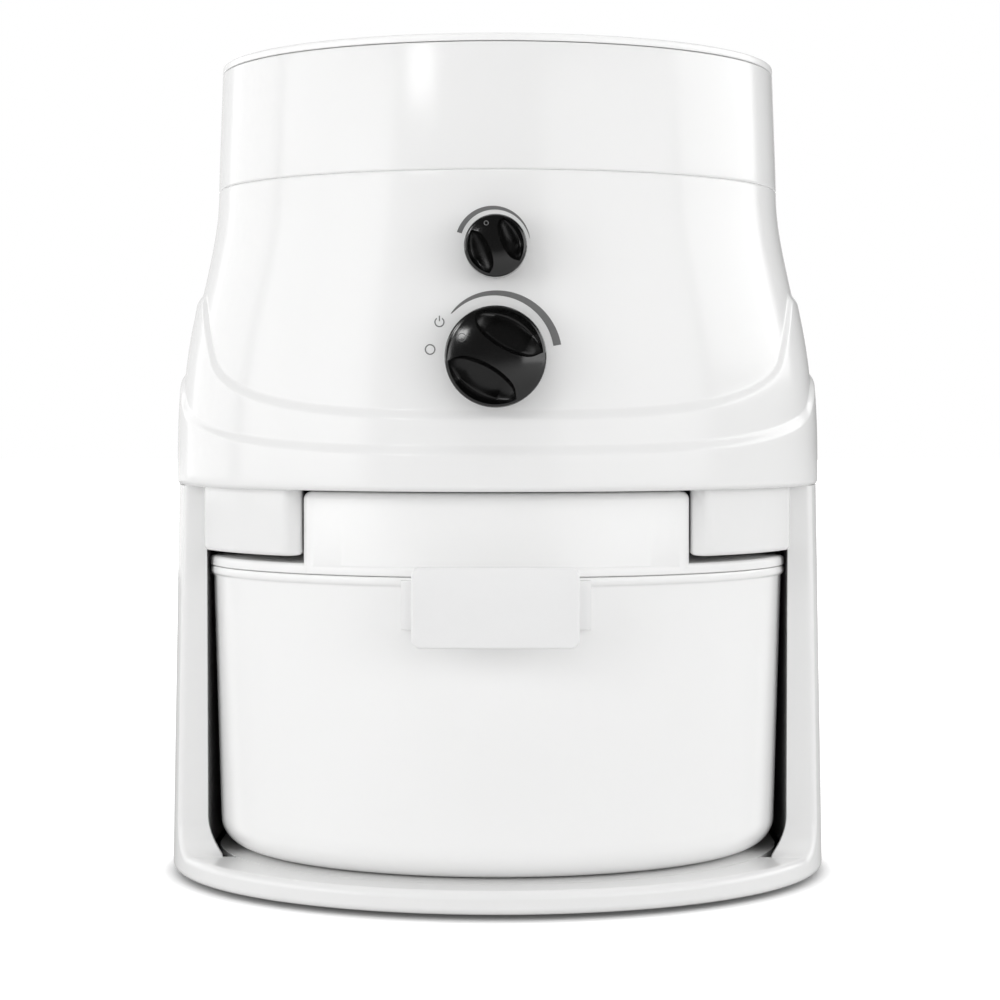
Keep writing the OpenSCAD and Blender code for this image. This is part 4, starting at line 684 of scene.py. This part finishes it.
RIM_HALF, RIM_FRONT, RIM_SIDE, RIM_REAR, RIM_CORNER = 125.5, 111.0, 122.1, 108.0, 66.0
RIM_Z, BEAD_H, BEAD_OUT, DRAFT, BOTTOM_R, BOWL_WALL, BOWL_Z = 132.8, 3.4, 1.3, 3.2, 14.0, 2.6, 11.6


def bowl_outline(inset):
    """Oval front, straight sides and round rear corners, all drawn in by inset."""
    a, b, w = RIM_HALF - inset, RIM_FRONT - inset, RIM_SIDE - inset
    end = math.asin(min(1, w / a))
    r = RIM_CORNER - inset
    yc, xc = RIM_REAR - inset - r, w - r
    t = np.linspace(-end, end, 181)
    front = np.stack([a * np.sin(t), -b * np.cos(t)], axis=-1)
    t = np.linspace(0, np.pi / 2, 28)
    right = np.stack([xc + r * np.cos(t), yc + r * np.sin(t)], axis=-1)
    left = np.stack([-xc - r * np.sin(t), yc + r * np.cos(t)], axis=-1)
    side = np.linspace(0, 1, 12)[1:-1, None]
    up = front[-1] + (right[0] - front[-1]) * side
    down = left[-1] + (front[0] - left[-1]) * side
    return np.concatenate([front, up, right, left, down])


def bowl_ring(inset, z):
    return at_height(bowl_outline(inset), z)


def wall_draft(z):
    """Inset of the wall at height z: it draws in by DRAFT from the bead down to the bottom."""
    return BEAD_OUT + DRAFT * (RIM_Z - z) / (RIM_Z - BOWL_Z)


def flour_bowl():
    """Rings of the bowl's outline, outside from the bottom to the bead, then inside back down to the bottom."""
    foot = BOWL_Z + BOTTOM_R
    drawn = wall_draft(foot)
    rows = [bowl_ring(drawn + BOTTOM_R * left, BOWL_Z + BOTTOM_R * gone) for left, gone in quarter_turn(13)]
    wall_top = RIM_Z - BEAD_H - 1.2
    for z in np.linspace(foot, wall_top, 14)[1:]:
        rows.append(bowl_ring(wall_draft(z), z))
    neck = wall_draft(wall_top)
    for left, gone in quarter_turn(6)[1:]:
        rows.append(bowl_ring(neck * (1 - 0.45 * gone), wall_top + 1.1 * (1 - left)))
    for t in np.linspace(0, np.pi, 13)[1:]:
        shrink = neck * 0.55 if t < np.pi / 2 else 0.5
        rows.append(bowl_ring(shrink * (1 - math.sin(t)), RIM_Z - BEAD_H / 2 - (BEAD_H / 2 - 0.1) * math.cos(t)))
    rows.append(bowl_ring(wall_draft(RIM_Z) + BOWL_WALL, RIM_Z - 0.1))
    for z in np.linspace(RIM_Z, foot, 10)[1:]:
        rows.append(bowl_ring(wall_draft(z) + BOWL_WALL, z))
    inner_r = BOTTOM_R - BOWL_WALL
    for left, gone in quarter_turn(10)[-2::-1]:
        rows.append(bowl_ring(drawn + BOWL_WALL + inner_r * left, BOWL_Z + BOWL_WALL + inner_r * gone))
    shape = Shape().grid(np.array(rows), caps=BOTH)
    shape.piece("bowl_shell", "white_bowl", "bowl_assembly", ["flour_bowl"], sharp=50)


# Bowl lid

LID_TOP, LID_EDGE, BOX_HALF, BOX_TOP, BOX_EDGE, BOX_WALL = 137.2, 1.6, 77.5, 166.2, 3.4, 2.2
BOX_FRONT_R, BOX_REAR_R, BOX_REAR = 5.0, 9.0, RIM_REAR - 6
FILTER_Y, FILTER_HALF_W, FILTER_HALF_D, PORT_Y, PORT_R = -36.0, 44.0, 34.0, 79.0, 16.0


def box_outline(inset):
    """Plan of the raised box: the flange's oval front, round front edges, straight sides, round rear corners."""
    w, a, b = BOX_HALF - inset, RIM_HALF - inset, RIM_FRONT - 0.6 - inset
    r, rr, rear = BOX_FRONT_R, BOX_REAR_R, BOX_REAR - inset
    centre_y = -b * math.cos(math.asin((w - r) / a)) + r
    end = math.asin((w - r) / a)
    t = np.linspace(-end, end, 80)
    front = np.stack([a * np.sin(t), -b * np.cos(t)], axis=-1)
    slope = math.atan2(b * math.sin(end), a * math.cos(end))
    t = np.linspace(-np.pi / 2 + slope, 0, 9)[1:]
    right = np.stack([w - r + r * np.cos(t), centre_y + r * np.sin(t)], axis=-1)
    t = np.linspace(0, np.pi / 2, 9)
    back_right = np.stack([w - rr + rr * np.cos(t), rear - rr + rr * np.sin(t)], axis=-1)
    back_left = back_right[::-1] * [-1, 1]
    left = right[::-1] * [-1, 1]
    return np.concatenate([front, right, back_right, back_left, left])


def bowl_lid():
    """Flange and raised box, united, with the box's hollow, the inlet port and the filter's bed taken out."""
    rows = [bowl_ring(0.5 * left, RIM_Z + 0.25 + 0.5 * gone) for left, gone in quarter_turn(5)]
    rows += [bowl_ring(LID_EDGE * gone, LID_TOP - LID_EDGE * left) for left, gone in quarter_turn(7)]
    flange = Shape().grid(np.array(rows), caps=BOTH)
    rows = [at_height(box_outline(0), RIM_Z + 0.6)]
    rows += [at_height(box_outline(BOX_EDGE * gone), BOX_TOP - BOX_EDGE * left) for left, gone in quarter_turn(9)]
    box = Shape().grid(np.array(rows), caps=BOTH)
    turn = np.linspace(0, TAU, 64, endpoint=False)
    port = np.stack([PORT_R * np.cos(turn), PORT_Y + PORT_R * np.sin(turn)], axis=-1)
    hollow = box_outline(BOX_WALL + 1)
    cutters = [
        Shape().grid(np.array([at_height(hollow, z) for z in (RIM_Z - 1, BOX_TOP - BOX_WALL)]), caps=BOTH),
        Shape().grid(np.array([at_height(port, z) for z in (BOX_TOP - 10, BOX_TOP + 5)]), caps=BOTH),
        Shape().grid(block([0, FILTER_Y, BOX_TOP + 3.6], [FILTER_HALF_W, FILTER_HALF_D, 5], 4.9)),
        Shape().grid(block([0, FILTER_Y, BOX_TOP], [FILTER_HALF_W - 5, FILTER_HALF_D - 5, 12], 4)),
    ]
    piece = flange.piece("lid_shell", "white_bowl", "bowl_assembly", ["bowl_lid"], sharp=40)
    combine(piece, "UNION", [box], 40)
    combine(piece, "DIFFERENCE", cutters, 40)


# Handle

GRIP_HALF, GRIP_Z, GRIP_H, GRIP_T, GRIP_REACH, GRIP_CORNER, GRIP_EDGE = 32.3, 107.3, 31.2, 3.0, 136.0, 3.4, 0.9
ARM_X, ARM_Y, ARM_Z, ARM_H, ARM_HALF_T, ARM_HALF_L = 29.3, -121.5, GRIP_Z + 5, 19.5, 1.5, 12.3
FLANGE_FROM, FLANGE_TO, FLANGE_T = 28.6, 37.4, 5.0


def plate(centre, half, corner, edge):
    """A plate that faces the front: round corners in its own plane, and a quarter circle over each edge."""
    turn = np.concatenate([np.linspace(k, k + 1, 9) for k in range(4)]) * np.pi / 2
    side_x, side_z = np.repeat([1, -1, -1, 1], 9), np.repeat([1, 1, -1, -1], 9)
    rows = []
    for end in (-1, 1):
        for left, gone in quarter_turn(6)[::-end]:
            r = corner - edge * left
            rows.append(np.stack([side_x * (half[0] - corner) + r * np.cos(turn),
                                  np.full(len(turn), end * (half[1] - edge * gone)),
                                  side_z * (half[2] - corner) + r * np.sin(turn)], axis=-1))
    return np.array(rows) + centre


def arm_flange(side):
    """Foot of an arm: its back follows the bowl's oval under the bead, and its ends and corners are eased."""
    x = np.linspace(FLANGE_FROM, FLANGE_TO, 9)
    wall = -(RIM_FRONT - 1.6) * np.sqrt(1 - (x / (RIM_HALF - 1.6)) ** 2) - 0.05
    ease = np.array([0.8, 0.2, 0, 0, 0, 0, 0, 0.2, 0.8])
    rows = []
    for z, inset in ((0, 0.8), (0.2, 0.2), (0.8, 0), (ARM_H - 0.8, 0), (ARM_H - 0.2, 0.2), (ARM_H, 0.8)):
        front = wall - FLANGE_T + ease + inset * 0.7
        loop = np.concatenate([np.stack([x, front], axis=-1), np.stack([x, wall], axis=-1)[::-1]])
        rows.append(at_height(loop * [side, 1], ARM_Z + z))
    return np.array(rows)


def bowl_handle():
    """Grip plate, two arms with flanges that follow the bowl's oval, and the rib behind the plate."""
    middle = ARM_Z + ARM_H / 2
    centre, half = [0, -GRIP_REACH + GRIP_T / 2, GRIP_Z + GRIP_H / 2], [GRIP_HALF, GRIP_T / 2, GRIP_H / 2]
    shape = Shape().grid(plate(centre, half, GRIP_CORNER, GRIP_EDGE), caps=BOTH)
    for side in (-1, 1):
        shape.grid(block([side * ARM_X, ARM_Y, middle], [ARM_HALF_T, ARM_HALF_L, ARM_H / 2], 0.7), caps=BOTH)
        shape.grid(arm_flange(side), caps=BOTH)
    shape.grid(block([0, -130, middle], [30, 3.4, 1.0], 0.6), caps=BOTH)
    shape.piece("grip_bracket", "frosted_grip", "bowl_assembly", ["bowl_handle"], sharp=40)


# Knobs

KNOB_BACK, KNOB_H, KNOB_EDGE, SHAFT_R, SHAFT_DEPTH = -121.1, 14.0, 1.0, 3.1, 4.0
SCOOP_DEPTH, SCOOP_SHARE = 7.0, 0.6
# Shares of the knob's radius: half the bar's waist, the radius of the bar's arcs, the way out to the pointer ring
WAIST, BAR_ARC, POINTER = 0.19, 1.6, 0.755


def knob(name, node, body, r, z, pointer, mark_r, wall):
    """Disc with a rounded rim; its face is a grid whose height drops by a scoop on each side of an hourglass bar.

    In its own plane the bar's edges are arcs x = waist + R - sqrt(R^2 - y^2), and the scoops reach from them to
    the face's circle. Across a scoop, with u from 0 at the bar to 1 at the circle, the depth follows
    (1 - (1 - u)^wall) (0.6 + 0.55 u) (1 - u^11): a wall at the bar, a sloping floor and a round rise to the rim.
    """
    turn = math.radians(-pointer)

    def place(x, y, h):
        across = x * math.cos(turn) - y * math.sin(turn)
        up = x * math.sin(turn) + y * math.cos(turn)
        return np.stack(np.broadcast_arrays(across, KNOB_BACK - h, z + up), axis=-1)

    def crown(x, y):
        """Height of the domed face: flat in the middle and lower at the edge, by a power of the radius."""
        return KNOB_H - 0.18 * r * ((x ** 2 + y ** 2) / r ** 2) ** 1.3

    face_r = r - KNOB_EDGE
    waist, arc_r, inner = r * WAIST, r * BAR_ARC, face_r - 0.2

    def bar_arc(y):
        return waist + arc_r - np.sqrt(arc_r ** 2 - y ** 2)

    # Height at which the bar's arc meets the scoop's circle; the scoop's round ends stop short of it
    meet = inner
    for _ in range(30):
        meet = math.sqrt(inner ** 2 - bar_arc(meet) ** 2)
    meet *= 0.93

    def bar_edge(y):
        """The arc, bent out to the circle near its ends by a high power of the height, for round ends."""
        circle = np.sqrt(inner ** 2 - y ** 2)
        return bar_arc(y) + (circle - bar_arc(y)) * np.abs(y / meet) ** 12

    # Angles of the face's outer edge, along a scoop and over an end of the bar; the rim has the same columns
    y = meet * np.sin(np.linspace(-np.pi / 2, np.pi / 2, 90))
    along = np.arctan2(y, np.sqrt(inner ** 2 - y ** 2))
    over = np.linspace(along[-1], np.pi - along[-1], 13)
    angle = np.concatenate([along, over[1:-1], np.pi + along, np.pi + over[1:-1]])
    top = crown(face_r, 0)
    rim = np.array([(r - 0.8, 0.0), (r - 0.2, 0.2), (r, 0.8), (r, top - 1.1), (r - 0.08, top - 0.7),
                    (r - 0.35, top - 0.25), (r - 0.7, top - 0.02), (face_r, top)])
    back = np.array([[r - 0.8, 0.0], [SHAFT_R, 0.0], [SHAFT_R, SHAFT_DEPTH]])
    shape = Shape()
    for profile, caps in ((rim, (False, False)), (back, (False, True))):
        radius, height = profile[:, :1], profile[:, 1:]
        shape.grid(place(radius * np.cos(angle), radius * np.sin(angle), height), caps=caps)

    # A scoop on each side, and the rim between it and the disc's edge
    start, end = bar_edge(y)[:, None], np.sqrt(inner ** 2 - y ** 2)[:, None]
    u = np.concatenate([np.linspace(0, 0.06, 5), np.linspace(0.08, 0.93, 36), np.linspace(0.95, 1, 5)])
    x = start + (end - start) * u
    fall = (1 - (1 - u) ** wall) * (0.6 + 0.55 * u) * (1 - u ** 11)
    depth = np.minimum(SCOOP_DEPTH, SCOOP_SHARE * (end - start)) * fall
    height = crown(x, y[:, None]) - depth
    t = np.linspace(0, 1, 4)[:, None]
    edge_x = end[:, 0] + (face_r * np.cos(along) - end[:, 0]) * t
    edge_y = y + (face_r * np.sin(along) - y) * t
    for side in (-1, 1):
        shape.grid(place(side * x, y[:, None] + 0 * x, height), wrap=False, slot=1)
        shape.grid(place(side * edge_x, edge_y, crown(edge_x, edge_y)), wrap=False)

    # Face of the bar, with its two ends out to the disc's edge
    x = start * np.linspace(-1, 1, 13)
    shape.grid(place(x, y[:, None] + 0 * x, crown(x, y[:, None])), wrap=False)
    t = np.linspace(0, 1, 5)[:, None]
    x = bar_edge(meet) * np.linspace(1, -1, 13) * (1 - t) + face_r * np.cos(over) * t
    for end in (-1, 1):
        end_y = end * (meet * (1 - t) + face_r * np.sin(over) * t)
        shape.grid(place(x, end_y, crown(x, end_y)), wrap=False)
    shape.piece(name, ["black_knob", "black_knob_matte"], body, [node], "black_knob", 40)

    # Pointer ring set into the wide end of the bar: a thin torus round the pointer's line
    around, tube = np.meshgrid(np.linspace(0, TAU, 49), np.linspace(0, TAU, 9)[:-1], indexing="ij")
    reach = mark_r + 0.16 * np.cos(tube)
    x, y = reach * np.cos(around), POINTER * r + reach * np.sin(around)
    ring = Shape().grid(place(x, y, crown(x, y) + 0.12 * np.sin(tube)))
    ring.piece(name + "_pointer", "pointer_mark", body, slot="dark_moulding", sharp=60)


# Printed marks on the front panel

def panel_y(x, z):
    """Depth of the front panel at width x and height z."""
    f = flare(z)
    a = RING_R + SIDE_BULGE * f
    b = RING_R + (BODY_FRONT - RING_R - TOP_INSET) * f
    return -b * np.sqrt(1 - (x / a) ** 2)


def printed(shape, x, z, closed=False):
    """A thin slab of ink on the panel: x and z run along it by rows and across it by columns."""
    x, z = np.broadcast_arrays(x, z)
    lift = np.concatenate([np.full(x.shape[1], 0.08), np.full(x.shape[1], -0.03)])
    x, z = (np.concatenate([v, v[:, ::-1]], axis=1) for v in (x, z))
    shape.grid(np.stack([x, panel_y(x, z) - lift, z], axis=-1), caps=(not closed, not closed))


def dial_arc(shape, cx, cz, from_deg, to_deg, outer, thick_from, thick_to, swell=1.0, ease=1.0):
    """Tapered arc: its outer radius and its thickness run from end to end by powers of the way."""
    t = np.linspace(0, 1, 90)[:, None]
    angle = np.radians(from_deg + (to_deg - from_deg) * t)
    r = outer[0] + (outer[1] - outer[0]) * (1 - (1 - t) ** ease)
    thick = thick_from + (thick_to - thick_from) * t ** swell
    radius = r - thick * np.linspace(0, 1, 6)
    printed(shape, cx + radius * np.sin(angle), cz + radius * np.cos(angle))


def ring_mark(shape, cx, cz, radius, thick, from_deg=0.0, to_deg=360.0):
    """A ring of even thickness, whole or open at the top."""
    angle = np.radians(np.linspace(from_deg, to_deg, 49))[:, None]
    r = radius + thick * np.linspace(-0.5, 0.5, 3)
    printed(shape, cx + r * np.sin(angle), cz + r * np.cos(angle), closed=to_deg - from_deg == 360)


FEED_Z, SPEED_Z = 219.3, 261.7
# Open circle and power symbol beside the feed knob: width and height of their centres
OPEN_MARK, POWER_MARK = (-25.5054, FEED_Z + 2.9938), (-21.8507, FEED_Z + 13.6081)


def dial_marks():
    """Two tapered arcs over the knobs, the open circle, and the power symbol's broken ring and bar."""
    shape = Shape()
    dial_arc(shape, 0, FEED_Z, -46, 79, (24.3, 25.9), 0.15, 3.1, 0.5, ease=6)
    dial_arc(shape, -1.0, SPEED_Z + 1.5, -72, 82, (14.75, 14.4), 1.95, 0.1, 1.8)
    ring_mark(shape, *OPEN_MARK, 1.85, 0.45)
    ring_mark(shape, *POWER_MARK, 1.75, 0.45, 35, 325)
    x, z = POWER_MARK
    printed(shape, x + np.array([-0.22, 0.22]), z + 0.35 + np.linspace(0, 2.1, 4)[:, None])
    shape.piece("dial_marks", "dial_ink", "mill_body", slot="dark_moulding")


# ---------------------------------------------------------------- studio

# Name, place, target, width and height in metres, and watts. A fill lights without a reflection of its own.
LAMPS = (
    ("left_softbox", (-1.85, -0.75, 0.55), (0, 0, 0.2), 2.0, 0.95, 10),
    ("left_rim", (-1.75, 0.95, 0.55), (0, 0, 0.2), 1.4, 0.95, 5),
    ("right_softbox", (1.5, -1.45, 0.55), (0, 0, 0.2), 2.2, 0.95, 8),
    ("right_rim", (1.95, 0.45, 0.85), (0, 0, 0.2), 2.0, 0.95, 11.5),
    ("back_softbox", (-0.45, 1.7, 0.6), (0, 0, 0.2), 2.2, 1.2, 5.5),
    ("left_window", (-1.05, -1.83, 0.98), (0, 0, 0.22), 0.4, 0.3, 2.2),
    ("left_fill", (-1.5, -1.2, 0.35), (0, 0, 0.15), 1.0, 0.6, 4.8),
    ("right_fill", (1.5, -1.2, 0.35), (0, 0, 0.15), 1.0, 0.6, 4),
    ("front_fill", (0.0, -2.0, 0.7), (0, 0, 0.15), 1.2, 0.6, 1.8),
    ("top_softbox", (0.0, -0.2, 2.0), (0, 0, 0.1), 1.6, 1.6, 6),
)
# Half sizes: the mill's footprint in metres, where the glow fades into a contact shadow; the floor in mm
FOOTPRINT = (0.141, 0.126)
FLOOR_HALF_SIZE = 9000


def light(name, place, target, width, height, watts):
    """A rectangular lamp that faces its target and that the camera does not see."""
    lamp = bpy.data.lights.new(name, "AREA")
    lamp.shape, lamp.size, lamp.size_y, lamp.energy = "RECTANGLE", width, height, watts
    holder = placed(name, lamp)
    holder.location = place
    holder.visible_glossy = not name.endswith("fill")
    holder.visible_camera = False
    holder.rotation_euler = (Vector(target) - Vector(place)).to_track_quat("-Z", "Y").to_euler()


def studio_floor():
    """Floor that glows white to the camera, less so close to the mill, and bounces the lamps' light elsewhere."""
    floor = Finish("studio_floor", Roughness=0.9, Specular_IOR_Level=0.1, Emission_Strength=1.0)
    floor.colour(floor.ray("Glossy"), grey(0.72), grey(0.3))
    x, y = floor.along("X"), floor.along("Y")
    away = (x ** 2 + y ** 2) ** 0.5
    near = ((x / FOOTPRINT[0]) ** 2 + (y / FOOTPRINT[1]) ** 2) ** 0.5
    glow = floor.blend(near.between(0.97, 1.06), grey(0.05), grey(0.62))
    glow = floor.blend(away.between(0.35, 1.1), glow, grey(1.0))
    seen = floor.ray("Camera").greatest(0.15 * floor.ray("Glossy")).greatest(floor.ray("Transmission"))
    floor.feed(floor.shader.inputs["Emission Color"], floor.blend(seen, grey(0.0), glow))
    side = np.array([-FLOOR_HALF_SIZE, FLOOR_HALF_SIZE])
    ground = Shape().grid(np.stack(np.broadcast_arrays(side, side[:, None], 0), axis=-1), wrap=False)
    ground = placed("studio_floor", ground.mesh("studio_floor", 35))
    ground.data.materials.append(floor.material)


def studio():
    """White floor and backdrop, and softboxes to both sides that leave a darker band between their reflections."""
    scene = bpy.context.scene
    scene.view_settings.view_transform = "Standard"
    studio_floor()
    # Backdrop: mid grey as a light source, nearly black in reflections, white to the camera and through the grip
    scene.world = bpy.data.worlds.new("studio_world")
    scene.world.use_nodes = True
    sky = Graph(scene.world.node_tree)
    tone = grey(0.47)
    for kind, level in (("Glossy", 0.06), ("Transmission", 1.0), ("Camera", 1.0)):
        tone = sky.blend(sky.ray(kind), tone, grey(level))
    sky.feed(sky.tree.nodes["Background"].inputs["Color"], tone)
    for lamp in LAMPS:
        light(*lamp)


FOCAL = 2550.0
CAMERA_X, CAMERA_Y, CAMERA_Z = 0.0068, -1.110, 0.199
AIM_DOWN, AIM_SIDE = 90.5, 2.4


def camera():
    """A little above the middle of the mill and a touch to its right, pitched down by two degrees.

    The focal length and the two aims are in pixels of the 1000 pixel frame.
    """
    data = bpy.data.cameras.new("camera")
    data.sensor_width = 36.0
    data.lens = FOCAL / 1000 * data.sensor_width
    data.clip_start, data.clip_end = 0.05, 50
    holder = placed("camera", data)
    holder.location = (CAMERA_X, CAMERA_Y, CAMERA_Z)
    pitch, yaw = math.atan(AIM_DOWN / FOCAL), math.atan(CAMERA_X / -CAMERA_Y) - math.atan(AIM_SIDE / FOCAL)
    holder.rotation_euler = (math.pi / 2 - pitch, 0.0, yaw)
    bpy.context.scene.camera = holder


# ---------------------------------------------------------------- assembly

FINISH_NODES = {
    "white_shell": ("housing_floor", "bay_floor", "feed_throat", "flour_chute"),
    "white_bowl": ("separator_cup", "filter_grille"),
    # Liner and pan take the dark grey that is partly painted shade for the bay's gaps
    "liner_grey": ("bay_liner", "base_pan"),
    "rubber_black": ("rubber_feet", "cord_gland", "motor_mounts"),
    "gasket_white": ("lid_gasket",),
    "silicone": ("chamber_gasket", "shaft_seal"),
    "foam": ("filter_foam",),
    "gear_nylon": ("feed_pinion", "feed_sector", "feed_gate"),
    "dark_moulding": ("power_switch", "speed_potentiometer", "brush_holders", "cooling_fan"),
    "board_green": ("speed_board",),
    "cast_alloy": ("mill_chamber", "lower_bracket", "upper_bracket"),
    "lamination": ("armature_core", "field_core"),
    "copper": ("armature_windings", "commutator", "field_windings"),
    "carbon": ("carbon_brushes",),
    "steel": ("feed_shaft", "sector_stud", "control_bracket", "gear_plate", "speed_shaft", "mill_stator",
              "mill_rotor", "rotor_nut", "motor_shaft", "lower_bearing", "upper_bearing", "housing_screws",
              "base_screws"),
}
for finish, nodes in FINISH_NODES.items():
    for node in nodes:
        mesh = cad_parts[node].data
        mesh.materials.clear()
        mesh.materials.append(FINISH[finish].material)

motor_housing()
lower_shell()
guide_rail(-1, "rail_left", "guide_rail_left")
guide_rail(1, "rail_right", "guide_rail_right")
hopper()
hopper_lid()
flour_bowl()
bowl_lid()
bowl_handle()
knob("feed_dial", "feed_knob", "feed_control", r=19.6, z=FEED_Z, pointer=-60.5, mark_r=1.5, wall=24)
knob("speed_dial", "speed_knob", "speed_control", r=12.1, z=SPEED_Z, pointer=-22.7, mark_r=0.8, wall=8)
dial_marks()
studio()
camera()

bpy.context.view_layer.update()
